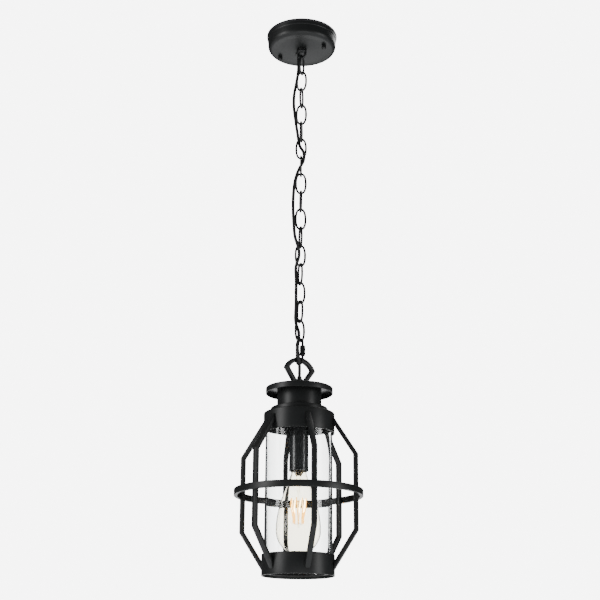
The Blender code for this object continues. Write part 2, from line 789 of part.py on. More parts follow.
def lantern_top():
    """The top disc, neck and step between the hanging loop and the upper band."""
    hole = STEM_RADIUS + GAP
    turned("top_disc", cap_outline(FLANGE_RADIUS, hole, FLANGE_TOP, FLANGE_BOTTOM, SHEET), BLACK)
    neck_top = FLANGE_TOP - SHEET - GAP
    turned("neck_tube", tube_outline(NECK_RADIUS, NECK_RADIUS - SHEET, neck_top, NECK_BOTTOM + GAP), BLACK)
    turned(
        "step_disc",
        cap_outline(STEP_RADIUS, hole, NECK_BOTTOM, STEP_BOTTOM + GAP, SHEET),
        BLACK,
    )


def bands():
    """The upper band with its top web, the lower band, and the ring round the bars."""
    half = COLLAR_BAND_HEIGHT / 2
    upper = RING_Z + BAND_CENTRE
    lower = RING_Z - BAND_CENTRE
    hole = STEM_RADIUS + GAP
    turned(
        "upper_collar",
        cap_outline(COLLAR_BAND_RADIUS, hole, upper + half, upper - half, BAND_WALL),
        BLACK,
    )
    turned(
        "lower_collar",
        tube_outline(COLLAR_BAND_RADIUS, COLLAR_BAND_RADIUS - BAND_WALL, lower + half, lower - half),
        BLACK,
    )
    turned(
        "middle_ring",
        tube_outline(
            RING_RADIUS,
            RING_RADIUS - RING_THICKNESS,
            RING_Z + RING_HEIGHT / 2,
            RING_Z - RING_HEIGHT / 2,
        ),
        BLACK,
        steps=54,
    )
    web_bottom = upper + half - BAND_WALL
    nut_top = web_bottom - GAP
    hex_nut("stem_nut", HEX_NUT_FLATS, STEM_RADIUS + GAP, nut_top, nut_top - HEX_NUT_HEIGHT, ZINC)


def bar_outline():
    """One bar's side view, radius across and height up, cut upright where it meets the bands."""
    seat = COLLAR_BAND_RADIUS + GAP
    outer = RING_RADIUS - RING_THICKNESS - GAP
    slope = (outer - seat) / (BAR_REACH - BAR_BEND)
    turn = math.atan(slope)
    inner = outer - BAR_DEPTH
    inner_bend = BAR_BEND - BAR_DEPTH * math.tan(turn / 2)
    inner_reach = inner_bend + (inner - seat) / slope
    right = [(seat, BAR_REACH), (outer, BAR_BEND), (outer, -BAR_BEND), (seat, -BAR_REACH)]
    left = [(seat, -inner_reach), (inner, -inner_bend), (inner, inner_bend), (seat, inner_reach)]
    return right + left


def bars():
    """The six bent bars, evenly round the axis."""
    outline = bar_outline()
    for i in range(BAR_COUNT):
        yaw = BAR_FIRST_YAW + 360 / BAR_COUNT * i
        bar = as_mesh(
            sheet(f"cage_bar_{i + 1}", [outline], BAR_WIDTH, BLACK, standing(yaw, RING_Z))
        )
        edge = bar.modifiers.new("edge", "BEVEL")
        edge.width = 0.5 * MM
        edge.segments = 1
        edge.limit_method = "ANGLE"
        edge.angle_limit = math.radians(60)


def glazing():
    """The glass cylinder, the ring that it stands on and the gasket over it."""
    glass_inner = GLASS_RADIUS - GLASS_WALL
    band_inner = COLLAR_BAND_RADIUS - BAND_WALL
    turned(
        "glass_cylinder",
        tube_outline(GLASS_RADIUS, glass_inner, RING_Z + GLASS_TOP, RING_Z + GLASS_BOTTOM),
        CLEAR_GLASS,
    )
    rest_top = RING_Z + GLASS_BOTTOM - GAP
    turned(
        "glass_rest_ring",
        tube_outline(
            band_inner - GAP, band_inner - GAP - REST_WIDTH, rest_top, rest_top - REST_HEIGHT
        ),
        BLACK,
    )
    web_bottom = RING_Z + BAND_CENTRE + COLLAR_BAND_HEIGHT / 2 - BAND_WALL
    turned(
        "glass_gasket",
        tube_outline(
            band_inner - GAP,
            band_inner - GAP - GASKET_WIDTH - GLASS_WALL,
            web_bottom - GAP,
            RING_Z + GLASS_TOP + GAP,
        ),
        FELT,
    )


def lampholder():
    """The sleeve on the stem, with the ceramic body, the screw shell and the contact in it."""
    top, bottom = RING_Z + HOLDER_TOP, RING_Z + HOLDER_BOTTOM
    turned(
        "socket_cover",
        cap_outline(HOLDER_RADIUS, STEM_RADIUS + GAP, top, bottom, HOLDER_WALL),
        BLACK,
        steps=32,
    )
    shell_outer = LAMP_CAP_RADIUS + GAP + SHELL_WALL
    shell_bottom = RING_Z + LAMP_CAP_BOTTOM + 1.0 * MM
    shell_top = RING_Z + LAMP_CAP_BOTTOM + LAMP_CAP_HEIGHT + 4.0 * MM
    turned(
        "screw_shell",
        tube_outline(shell_outer, shell_outer - SHELL_WALL, shell_top, shell_bottom),
        BRASS,
        steps=32,
    )
    body_top = top - HOLDER_WALL - 10.0 * MM
    turned(
        "socket_body",
        [
            (CORD_RADIUS + GAP, body_top),
            (shell_outer, body_top),
            (shell_outer, shell_top + GAP),
            (CORD_RADIUS + GAP, shell_top + GAP),
        ],
        CERAMIC,
        steps=32,
    )
    turned(
        "centre_contact",
        [
            (0.0, shell_top - GAP),
            (4.0 * MM, shell_top - GAP),
            (4.0 * MM, shell_top - 0.8 * MM),
            (0.0, shell_top - 0.8 * MM),
        ],
        BRASS,
        steps=16,
    )


def lamp_outside():
    """The lamp glass's outer side, from the neck down to the tip."""
    neck_z = RING_Z + LAMP_CAP_BOTTOM + 4.0 * MM
    shoulder_z = RING_Z + HOLDER_BOTTOM - 4.0 * MM
    widest_z = RING_Z + LAMP_WIDEST
    found = [(LAMP_NECK_RADIUS, neck_z), (LAMP_NECK_RADIUS, shoulder_z)]
    for i in range(1, 6):
        t = i / 6
        ease = math.sin(math.pi / 2 * t ** 0.95) ** 1.15
        found.append(
            (
                LAMP_NECK_RADIUS + (LAMP_RADIUS - LAMP_NECK_RADIUS) * ease,
                shoulder_z + (widest_z - shoulder_z) * t,
            )
        )
    drop = LAMP_TIP - LAMP_WIDEST
    for i in range(5):
        angle = math.radians(90 * i / 5)
        found.append((LAMP_RADIUS * math.cos(angle), widest_z + drop * math.sin(angle)))
    return found


def lamp():
    """The lamp: cap, envelope, stem and filament cage."""
    outside = lamp_outside()
    tip = RING_Z + LAMP_TIP
    inside = [(max(r - LAMP_WALL, 0.0), max(z, tip + LAMP_WALL)) for r, z in outside]
    outline = [(0.0, tip + LAMP_WALL), *reversed(inside), *outside, (0.0, tip)]
    turned("bulb_glass", outline, CLEAR_GLASS, steps=24)
    bottom = RING_Z + LAMP_CAP_BOTTOM
    top = bottom + LAMP_CAP_HEIGHT
    inner = LAMP_NECK_RADIUS + GAP
    turned(
        "bulb_cap",
        [
            (0.0, top + 2.5 * MM),
            (4.5 * MM, top + 2.5 * MM),
            (5.0 * MM, top + 1.5 * MM),
            (LAMP_CAP_RADIUS - 2.0 * MM, top),
            (LAMP_CAP_RADIUS, top - 2.0 * MM),
            (LAMP_CAP_RADIUS, bottom),
            (inner, bottom),
            (inner, top - 3.0 * MM),
            (0.0, top - 3.0 * MM),
        ],
        NICKEL,
        steps=28,
    )
    neck_inner = LAMP_NECK_RADIUS - LAMP_WALL - GAP
    stem_top = bottom + 3.0 * MM
    turned(
        "bulb_stem",
        [
            (0.0, stem_top),
            (neck_inner, stem_top),
            (4.2 * MM, stem_top - 12.0 * MM),
            (3.2 * MM, RING_Z + FILAMENT_TOP + 6.0 * MM),
            (1.6 * MM, RING_Z + FILAMENT_TOP),
            (1.4 * MM, RING_Z + FILAMENT_BOTTOM - 6.0 * MM),
            (0.0, RING_Z + FILAMENT_BOTTOM - 6.0 * MM),
        ],
        CLEAR_GLASS,
        steps=16,
    )
    points = []
    for i in range(FILAMENT_STICKS + 1):
        along = direction(360 / FILAMENT_STICKS * i + 10.0)
        high = Vector((0, 0, RING_Z + FILAMENT_TOP)) + along * FILAMENT_TOP_RADIUS
        low = Vector((0, 0, RING_Z + FILAMENT_BOTTOM)) + along * FILAMENT_BOTTOM_RADIUS
        if i == FILAMENT_STICKS:
            break
        points += [high, low] if i % 2 == 0 else [low, high]
    wire("filament_cage", points, 0.8 * MM, GLOW, sides=0)


def main():
    """Builds the whole lantern, from the ceiling down."""
    canopy()
    chain()
    quick_link()
    cord()
    hanging_loop()
    lantern_top()
    bands()
    bars()
    glazing()
    lampholder()
    lamp()


main()
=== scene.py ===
"""Looks of a hanging lantern: canopy, chain with its woven cord, and a caged glass cylinder.

The frame holds the solid parts. This script gives each of them its finished surface: turned and
rounded metal under a satin black coat, clear glass, a moulded cord and a glowing lamp.
"""

import logging
import math
from dataclasses import dataclass
from enum import Enum
from functools import cache
from typing import Callable, Optional, Sequence

import bmesh
import bpy
import numpy as np
from mathutils import Matrix, Vector


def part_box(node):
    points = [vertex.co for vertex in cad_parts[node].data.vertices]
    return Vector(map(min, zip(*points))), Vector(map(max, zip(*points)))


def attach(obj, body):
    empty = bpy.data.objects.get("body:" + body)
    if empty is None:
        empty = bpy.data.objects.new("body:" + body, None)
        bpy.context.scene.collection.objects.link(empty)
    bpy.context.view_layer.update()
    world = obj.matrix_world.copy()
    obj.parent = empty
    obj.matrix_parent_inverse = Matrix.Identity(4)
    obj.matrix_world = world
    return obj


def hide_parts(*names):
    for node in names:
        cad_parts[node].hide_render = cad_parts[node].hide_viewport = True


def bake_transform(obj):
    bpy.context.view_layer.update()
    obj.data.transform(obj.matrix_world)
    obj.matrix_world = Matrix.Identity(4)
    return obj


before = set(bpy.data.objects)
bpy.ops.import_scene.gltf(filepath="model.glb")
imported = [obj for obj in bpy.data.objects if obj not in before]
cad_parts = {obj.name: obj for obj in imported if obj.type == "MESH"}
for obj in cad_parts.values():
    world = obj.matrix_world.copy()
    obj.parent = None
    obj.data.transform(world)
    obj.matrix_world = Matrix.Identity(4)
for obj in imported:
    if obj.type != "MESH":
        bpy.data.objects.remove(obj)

LOG = logging.getLogger("lantern")
MM = 0.001
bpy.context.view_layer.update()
STEM_HOLE = 5.3 * MM  # the radius of every hole that the stem passes
SHARP = 32.0  # the angle in degrees over which an edge stays sharp, unless a piece says another
SOFT_SHARP = 60.0  # the same, on round wire and blown glass
SEAM = 1e-7  # points nearer than this, in metres, are one point
Profile = list[tuple[float, float]]
Corners = Sequence[tuple[float, float, float]]

# The cord's way down: height, sideways place and depth, in metres.
CORD_ROUTE = (
    (-0.0130, -0.0117, 0.0098),
    (-0.0260, -0.0117, 0.0098),
    (-0.0390, -0.0116, 0.0095),
    (-0.0570, -0.0109, 0.0079),
    (-0.0760, -0.0108, 0.0049),
    (-0.0950, -0.0126, 0.0023),
    (-0.1160, -0.0148, -0.0002),
    (-0.1380, -0.0148, -0.0008),
    (-0.1600, -0.0127, 0.0003),
    (-0.1800, -0.0105, 0.0021),
    (-0.1970, -0.0083, 0.0032),
    (-0.2110, -0.0061, 0.0035),
    (-0.2230, -0.0010, 0.0008),
    (-0.2330, 0.0054, -0.0022),
    (-0.2420, 0.0074, -0.0030),
    (-0.2510, 0.0058, -0.0022),
    (-0.2600, 0.0009, -0.0028),
    (-0.2700, -0.0023, -0.0060),
    (-0.2830, -0.0051, -0.0092),
    (-0.3130, -0.0083, -0.0114),
    (-0.3470, -0.0088, -0.0112),
    (-0.3780, -0.0072, -0.0103),
    (-0.3960, -0.0048, -0.0102),
    (-0.4100, -0.0008, -0.0090),
    (-0.4210, -0.0001, -0.0046),
    (-0.4310, -0.0033, -0.0006),
    (-0.4430, -0.0077, -0.0002),
    (-0.4620, -0.0078, -0.0006),
    (-0.4920, -0.0070, -0.0010),
    (-0.5250, -0.0074, -0.0014),
    (-0.5470, -0.0064, -0.0016),
    (-0.5610, -0.0014, -0.0024),
    (-0.5720, 0.0017, -0.0066),
    (-0.5850, 0.0024, -0.0109),
    (-0.6000, 0.0032, -0.0129),
    (-0.6120, 0.0042, -0.0108),
    (-0.6260, 0.0017, -0.0032),
    (-0.6400, 0.0, 0.0),
    (-0.6540, 0.0, 0.0),
    (-0.7180, 0.0, 0.0),
)


class Body(Enum):
    """The moving bodies that pieces ride on, apart from the sixteen links."""

    CANOPY = "canopy"
    QUICK_LINK = "quick_link"
    SLEEVE = "quick_link_sleeve"
    LANTERN = "lantern"
    BULB = "bulb"


class Slot(Enum):
    """The names of the material slots, one for each group of finishes."""

    COAT = "black_coat"
    CORD = "black_cord"
    PLASTIC = "black_plastic"
    NICKEL = "nickel"
    GLASS = "clear_glass"
    GLOW = "filament"


class NodeSheet:
    """A node tree with short calls for adding, setting and joining its nodes."""

    def __init__(self, tree: bpy.types.NodeTree) -> None:
        """Starts with an empty sheet.

        Args:
            tree: the tree to fill; what it holds is removed.
        """
        self.tree = tree
        tree.nodes.clear()

    def add(self, kind: str, **settings: object) -> bpy.types.Node:
        """Adds a node.

        Args:
            kind: the node's type.
            settings: attributes to set on it.

        Returns:
            The new node.
        """
        node = self.tree.nodes.new(kind)
        node.location = (220 * (len(self.tree.nodes) % 8), -260 * (len(self.tree.nodes) // 8))
        for key, value in settings.items():
            setattr(node, key, value)
        return node

    def feed(self, socket: bpy.types.NodeSocket, value: object) -> None:
        """Links or sets one input.

        Args:
            socket: the input to feed.
            value: another node's output, or a plain value.
        """
        if isinstance(value, bpy.types.NodeSocket):
            self.tree.links.new(value, socket)
        else:
            socket.default_value = value

    def wired(self, kind: str, inputs: dict[str, object], **settings: object) -> bpy.types.Node:
        """Adds a node and feeds its inputs.

        Args:
            kind: the node's type.
            inputs: another node's output, or a plain value, for each input by name.
            settings: attributes to set on it.

        Returns:
            The new node.
        """
        node = self.add(kind, **settings)
        for label, value in inputs.items():
            self.feed(node.inputs[label], value)
        return node

    def math(self, operation: str, *values: object) -> bpy.types.NodeSocket:
        """Adds a Math node.

        Args:
            operation: what it works out.
            values: its inputs, each an output or a number.

        Returns:
            Its result.
        """
        node = self.add("ShaderNodeMath", operation=operation)
        for socket, value in zip(node.inputs, values):
            self.feed(socket, value)
        return node.outputs[0]


class ShaderGroups:
    """Surface effects that several finishes share, each built once."""

    @staticmethod
    def _new(name: str, numbers: dict[str, float], outputs: Sequence[str]) -> NodeSheet:
        """Starts a group whose sockets are all numbers.

        Args:
            name: the group's name.
            numbers: each input's default, by name.
            outputs: the outputs' names.

        Returns:
            The group's sheet.
        """
        tree = bpy.data.node_groups.new(name, "ShaderNodeTree")
        for label, default in numbers.items():
            socket = tree.interface.new_socket(
                label, in_out="INPUT", socket_type="NodeSocketFloat"
            )
            socket.default_value = default
        for label in outputs:
            tree.interface.new_socket(label, in_out="OUTPUT", socket_type="NodeSocketFloat")
        return NodeSheet(tree)

    @classmethod
    @cache
    def grain(cls) -> bpy.types.NodeTree:
        """A fine skin of dimples over slow patches, for coats and mouldings.

        Returns:
            The group, with Scale, Patch and Contrast in, and Height and Mask out.
        """
        defaults = {"Scale": 900.0, "Patch": 24.0, "Contrast": 1.0}
        sheet = cls._new("surface_grain", defaults, ("Height", "Mask"))
        given = sheet.add("NodeGroupInput").outputs
        place = sheet.add("ShaderNodeTexCoord").outputs["Object"]
        fine, slow = (
            sheet.wired(
                "ShaderNodeTexNoise", {"Vector": place, "Scale": given[size], "Detail": detail}
            )
            for size, detail in (("Scale", 3.0), ("Patch", 4.0))
        )
        centred = sheet.math("SUBTRACT", slow.outputs["Fac"], 0.5)
        spread = sheet.math("MULTIPLY", centred, given["Contrast"])
        mask = sheet.wired("ShaderNodeClamp", {"Value": sheet.math("ADD", spread, 0.5)})
        sheet.wired("NodeGroupOutput", {"Height": fine.outputs["Fac"], "Mask": mask.outputs[0]})
        return sheet.tree

    @classmethod
    @cache
    def brushing(cls) -> bpy.types.NodeTree:
        """Fine turning lines round the vertical axis, for plated and rolled metal.

        Returns:
            The group, with Scale in, and Height and Mask out.
        """
        sheet = cls._new("turning_lines", {"Scale": 400.0}, ("Height", "Mask"))
        given = sheet.add("NodeGroupInput").outputs
        place = sheet.add("ShaderNodeTexCoord").outputs["Object"]
        stretch = sheet.wired("ShaderNodeMapping", {"Scale": (0.04, 0.04, 1.0), "Vector": place})
        lines = sheet.wired(
            "ShaderNodeTexNoise",
            {"Vector": stretch.outputs[0], "Scale": given["Scale"], "Detail": 5.0},
        )
        cloud = sheet.wired("ShaderNodeTexNoise", {"Vector": place, "Scale": 60.0})
        sheet.wired(
            "NodeGroupOutput", {"Height": lines.outputs["Fac"], "Mask": cloud.outputs["Fac"]}
        )
        return sheet.tree

    @classmethod
    @cache
    def dust(cls) -> bpy.types.NodeTree:
        """A faint film that settles on faces that look up.

        Returns:
            The group, with Amount in and Mask out.
        """
        sheet = cls._new("settled_dust", {"Amount": 0.1}, ("Mask",))
        given = sheet.add("NodeGroupInput").outputs
        normal = sheet.add("ShaderNodeNewGeometry").outputs["Normal"]
        facing = sheet.wired("ShaderNodeSeparateXYZ", {"Vector": normal})
        upward = sheet.math("MAXIMUM", facing.outputs["Z"], 0.0)
        place = sheet.add("ShaderNodeTexCoord").outputs["Object"]
        cloud = sheet.wired("ShaderNodeTexNoise", {"Vector": place, "Scale": 90.0})
        film = sheet.math("MULTIPLY", upward, cloud.outputs["Fac"])
        sheet.wired("NodeGroupOutput", {"Mask": sheet.math("MULTIPLY", film, given["Amount"])})
        return sheet.tree


DUST_COLOUR = (0.35, 0.33, 0.3, 1.0)
COAT_ROUGHNESS = 0.25


class Texture(Enum):
    """Which shared effect a finish has in its surface."""

    GRAIN = "grain"
    BRUSHING = "brushing"


@dataclass(frozen=True)
class Finish:
    """A surface: its colour, gloss and relief, and how much each varies."""

    name: str
    colour: tuple[float, float, float]
    tint: tuple[float, float, float]
    roughness: float
    spread: float = 0.08
    metallic: float = 0.0
    texture: Texture = Texture.GRAIN
    scale: float = 900.0
    patch: float = 24.0
    relief: float = 0.15
    depth: float = 0.00002
    dust: float = 0.0
    specular: float = 0.5
    coat: float = 0.0
    transmission: float = 0.0
    ior: float = 1.5
    emission: float = 0.0

    def material(self) -> bpy.types.Material:
        """Builds the material, or finds it if it's built already.

        Returns:
            The material.
        """
        known = bpy.data.materials.get(self.name)
        if known is not None:
            return known
        made = bpy.data.materials.new(self.name)
        made.use_nodes = True
        sheet = NodeSheet(made.node_tree)
        relief = sheet.add("ShaderNodeGroup")
        if self.texture is Texture.GRAIN:
            relief.node_tree = ShaderGroups.grain()
            relief.inputs["Patch"].default_value = self.patch
        else:
            relief.node_tree = ShaderGroups.brushing()
        relief.inputs["Scale"].default_value = self.scale
        mask = relief.outputs["Mask"]
        varied = self._mixed(sheet, mask, (*self.colour, 1.0), (*self.tint, 1.0))
        colour = varied
        if self.dust:
            film = sheet.add("ShaderNodeGroup")
            film.node_tree = ShaderGroups.dust()
            film.inputs["Amount"].default_value = self.dust
            colour = self._mixed(sheet, film.outputs["Mask"], colour, DUST_COLOUR)
        centred = sheet.math("SUBTRACT", mask, 0.5)
        gloss = sheet.math("ADD", sheet.math("MULTIPLY", centred, self.spread), self.roughness)
        height = relief.outputs["Height"]
        bump = sheet.wired(
            "ShaderNodeBump", {"Strength": self.relief, "Distance": self.depth, "Height": height}
        )
        inputs = {
            "Base Color": colour,
            "Roughness": gloss,
            "Normal": bump.outputs[0],
            "Metallic": self.metallic,
            "Specular IOR Level": self.specular,
            "Coat Weight": self.coat,
            "Coat Roughness": COAT_ROUGHNESS,
            "Transmission Weight": self.transmission,
            "IOR": self.ior,
        }
        if self.emission:
            inputs |= {"Emission Color": varied, "Emission Strength": self.emission}
        surface = sheet.wired("ShaderNodeBsdfPrincipled", inputs).outputs[0]
        if self.transmission:
            path = sheet.add("ShaderNodeLightPath").outputs
            unseen = sheet.math("MAXIMUM", path["Is Reflection Ray"], path["Is Shadow Ray"])
            clear = sheet.add("ShaderNodeBsdfTransparent").outputs[0]
            passing = sheet.add("ShaderNodeMixShader")
            for socket, value in zip(passing.inputs, (unseen, surface, clear)):
                sheet.feed(socket, value)
            surface = passing.outputs[0]
        sheet.wired("ShaderNodeOutputMaterial", {"Surface": surface})
        return made

    @staticmethod
    def _mixed(sheet: NodeSheet, *values: object) -> bpy.types.NodeSocket:
        """Mixes two colours.

        Args:
            sheet: the material's sheet.
            values: the factor and the two colours, each an output or a plain value.

        Returns:
            The mixed colour.
        """
        blend = sheet.add("ShaderNodeMix", data_type="RGBA")
        for number, value in zip((0, 6, 7), values):
            sheet.feed(blend.inputs[number], value)
        return blend.outputs[2]


SATIN_BLACK = Finish(
    "satin_black_coat", (0.0055, 0.006, 0.006), (0.010, 0.0105, 0.0105), 0.40,
    scale=1400.0, patch=30.0, relief=0.35, depth=0.00003, dust=0.02, specular=0.32,
)
LINK_BLACK = Finish(
    "link_black_coat", (0.0045, 0.005, 0.005), (0.008, 0.0085, 0.0085), 0.36,
    scale=1800.0, patch=120.0, relief=0.3, depth=0.00002, specular=0.4,
)
CORD_BLACK = Finish(
    "cord_sheath", (0.005, 0.005, 0.005), (0.009, 0.009, 0.009), 0.52,
    scale=2600.0, patch=200.0, relief=0.4, depth=0.00002, specular=0.35,
)
MOULDED_BLACK = Finish(
    "moulded_black", (0.014, 0.014, 0.014), (0.022, 0.022, 0.022), 0.48, scale=1900.0, relief=0.25
)
HOLDER_BLACK = Finish(
    "holder_black", (0.012, 0.013, 0.013), (0.02, 0.021, 0.021), 0.26,
    scale=1500.0, patch=40.0, relief=0.2, coat=0.3,
)
ZINC = Finish(
    "zinc_plating", (0.60, 0.60, 0.58), (0.47, 0.48, 0.49), 0.32,
    metallic=1.0, texture=Texture.BRUSHING, scale=700.0, relief=0.2,
)
BRASS = Finish(
    "rolled_brass", (0.74, 0.53, 0.22), (0.60, 0.41, 0.15), 0.26,
    metallic=1.0, texture=Texture.BRUSHING, scale=600.0, relief=0.15,
)
NICKEL = Finish(
    "nickel_plate", (0.70, 0.66, 0.60), (0.55, 0.51, 0.45), 0.22,
    metallic=1.0, texture=Texture.BRUSHING, scale=650.0, relief=0.12,
)
WHITE = Finish("moulded_white", (0.82, 0.82, 0.78), (0.74, 0.73, 0.68), 0.45, scale=1500.0)
CERAMIC = Finish(
    "glazed_ceramic", (0.86, 0.84, 0.77), (0.78, 0.75, 0.66), 0.22, scale=300.0, coat=0.4
)
CLEAR = Finish(
    "cylinder_glass", (0.94, 0.95, 0.945), (0.82, 0.835, 0.835), 0.015,
    spread=0.012, scale=14.0, patch=18.0, relief=0.05, depth=0.0002, transmission=1.0, ior=1.45,
)
# The faint warm tint of the lamp glass is painted warmth that stands in for the filament's glow
# seen through it.
LAMP_GLASS = Finish(
    "lamp_glass", (1.0, 0.975, 0.90), (0.995, 0.955, 0.85), 0.01,
    spread=0.01, scale=26.0, patch=14.0, relief=0.05, depth=0.0002, transmission=1.0, ior=1.3,
)
GASKET = Finish(
    "soft_gasket", (0.04, 0.04, 0.04), (0.06, 0.06, 0.06), 0.8, scale=1200.0, relief=0.5
)
SLEEVING = Finish("lead_sleeving", (0.28, 0.11, 0.04), (0.20, 0.08, 0.03), 0.45, scale=2000.0)
GLOWING = Finish(
    "amber_filament", (1.0, 0.56, 0.10), (1.0, 0.46, 0.06), 0.5, patch=160.0, emission=3.6
)
WHITE_HOT = Finish(
    "white_hot_filament", (1.0, 0.86, 0.58), (1.0, 0.78, 0.44), 0.5, patch=200.0, emission=16.0
)


@dataclass(frozen=True)
class NodeBox:
    """A frame node's place: its lowest and highest corners."""

    low: Vector
    high: Vector

    @classmethod
    def of(cls, node: str) -> "NodeBox":
        """Reads a node's box.

        Args:
            node: the node's name.

        Returns:
            Its box.
        """
        return cls(*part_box(node))

    @property
    def top(self) -> float:
        """The highest level."""
        return self.high.z

    @property
    def bottom(self) -> float:
        """The lowest level."""
        return self.low.z

    @property
    def middle(self) -> Vector:
        """The box's middle."""
        return (self.low + self.high) / 2

    @property
    def radius(self) -> float:
        """Half the box's extent along X."""
        return (self.high.x - self.low.x) / 2

    @property
    def height(self) -> float:
        """The box's height."""
        return self.high.z - self.low.z


def level_direction(yaw: float) -> Vector:
    """The level unit vector at a yaw.

    Args:
        yaw: degrees from +X towards +Y.

    Returns:
        The vector.
    """
    return Vector((math.cos(math.radians(yaw)), math.sin(math.radians(yaw)), 0.0))


def add_piece(
    name: str, mesh: bpy.types.Mesh, finish: Finish, sharp: float = SHARP
) -> bpy.types.Object:
    """Puts a mesh in the scene with its finish, shaded smooth but for its sharp edges.

    Args:
        name: the piece's name.
        mesh: its mesh, already in place.
        finish: its surface.
        sharp: the angle in degrees over which an edge stays sharp.

    Returns:
        The piece.
    """
    piece = bpy.data.objects.new(name, mesh)
    bpy.context.scene.collection.objects.link(piece)
    mesh.materials.clear()
    mesh.materials.append(finish.material())
    mesh.shade_smooth()
    mesh.set_sharp_from_angle(angle=math.radians(sharp))
    return piece


def fit(piece: bpy.types.Object, body: Body | str, slot: Slot, *nodes: str) -> None:
    """Sets a piece on its body, in place of the nodes that it stands for.

    Args:
        piece: the finished piece.
        body: the body it rides on, a link's by its name.
        slot: the slot its finish belongs to; not used.
        nodes: the frame nodes it stands for.
    """
    carrier = body.value if isinstance(body, Body) else body
    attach(piece, carrier)
    if nodes:
        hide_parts(*nodes)
    LOG.info("%s on %s, %d faces", piece.name, carrier, len(piece.data.polygons))


def mesh_from(build: bmesh.types.BMesh, name: str) -> bpy.types.Mesh:
    """Closes a bmesh's seams, turns its faces outwards and makes it a mesh.

    Args:
        build: the bmesh, which is freed.
        name: the mesh's name.

    Returns:
        The mesh.
    """
    bmesh.ops.remove_doubles(build, verts=build.verts, dist=SEAM)
    bmesh.ops.dissolve_degenerate(build, edges=build.edges, dist=1e-8)
    bmesh.ops.recalc_face_normals(build, faces=build.faces)
    mesh = bpy.data.meshes.new(name)
    build.to_mesh(mesh)
    build.free()
    return mesh


def plain_mesh(
    source: bpy.types.Object, name: str, merge: float, matrix: Matrix = Matrix.Identity(4)
) -> bpy.types.Mesh:
    """Keeps an object's evaluated shape as a closed mesh, and removes the object.

    Args:
        source: the object.
        name: the mesh's name.
        merge: the distance within which points are joined.
        matrix: turns and moves the shape to its place.

    Returns:
        The mesh.
    """
    bpy.context.view_layer.update()
    graph = bpy.context.evaluated_depsgraph_get()
    mesh = bpy.data.meshes.new_from_object(source.evaluated_get(graph))
    mesh.name = name
    bpy.data.objects.remove(source, do_unlink=True)
    build = bmesh.new()
    build.from_mesh(mesh)
    bmesh.ops.transform(build, matrix=matrix, verts=build.verts)
    bmesh.ops.remove_doubles(build, verts=build.verts, dist=merge)
    bmesh.ops.recalc_face_normals(build, faces=build.faces)
    build.to_mesh(mesh)
    build.free()
    return mesh


def rounded(corners: Corners, steps: int) -> Profile:
    """A closed outline with an arc at each corner.

    Args:
        corners: each corner's two coordinates and its radius.
        steps: the straight pieces in an arc.

    Returns:
        The outline's points.
    """
    found: Profile = []
    count = len(corners)
    for i, (x, y, radius) in enumerate(corners):
        here = Vector((x, y))
        before = Vector(corners[i - 1][:2]) - here
        after = Vector(corners[(i + 1) % count][:2]) - here
        if radius <= 0 or before.length < 1e-9 or after.length < 1e-9:
            found.append((x, y))
            continue
        angle = before.angle(after)
        if angle > math.pi - 0.02:
            found.append((x, y))
            continue
        reach = min(radius / math.tan(angle / 2), before.length * 0.49, after.length * 0.49)
        bend = reach * math.tan(angle / 2)
        start = here + before.normalized() * reach
        end = here + after.normalized() * reach
        centre = here + (before.normalized() + after.normalized()).normalized() * (
            bend / math.sin(angle / 2)
        )
        first, last = start - centre, end - centre
        turn = first.angle_signed(last)
        for step in range(steps + 1):
            arm = first.copy()
            arm.rotate(Matrix.Rotation(-turn * step / steps, 2))
            found.append(tuple(centre + arm))
    return found


def turned(
    name: str,
    profile: Profile,
    steps: int,
    shift: Optional[Callable[[float, float, float], float]] = None,
    place: tuple[float, float] = (0.0, 0.0),
) -> bpy.types.Mesh:
    """Turns a closed profile round a vertical axis.

    Args:
        name: the mesh's name.
        profile: radius and height points of a closed outline; an end on the axis stays open.
        steps: the flats round the axis.
        shift: what to add to a point's radius, from its radius, height and angle.
        place: where the axis stands.

    Returns:
        The closed mesh.
    """
    build = bmesh.new()
    rings = []
    for step in range(steps):
        angle = 2 * math.pi * step / steps
        ring = []
        for radius, height in profile:
            reach = radius + (shift(radius, height, angle) if shift and radius > 1e-6 else 0.0)
            point = (place[0] + reach * math.cos(angle), place[1] + reach * math.sin(angle), height)
            ring.append(build.verts.new(point))
        rings.append(ring)
    size = len(profile)
    for step in range(steps):
        here, there = rings[step], rings[(step + 1) % steps]
        for i in range(size):
            j = (i + 1) % size
            if profile[i][0] < 1e-9 and profile[j][0] < 1e-9:
                continue
            corners = [here[i], here[j], there[j], there[i]]
            if profile[i][0] < 1e-9:
                corners = [here[i], here[j], there[j]]
            elif profile[j][0] < 1e-9:
                corners = [here[i], here[j], there[i]]
            build.faces.new(corners)
    return mesh_from(build, name)


def turned_piece(
    name: str,
    corners: Corners,
    arcs: int,
    flats: int,
    finish: Finish,
    place: tuple[float, float] = (0.0, 0.0),
    sharp: float = SHARP,
) -> bpy.types.Object:
    """A turned piece with rounded corners.

    Args:
        name: the piece's name.
        corners: radius, height and rounding of each corner of its outline.
        arcs: the straight pieces in a corner's arc.
        flats: the flats round the axis.
        finish: its surface.
        place: where the axis stands.
        sharp: the angle in degrees over which an edge stays sharp.

    Returns:
        The piece.
    """
    return add_piece(name, turned(name, rounded(corners, arcs), flats, place=place), finish, sharp)


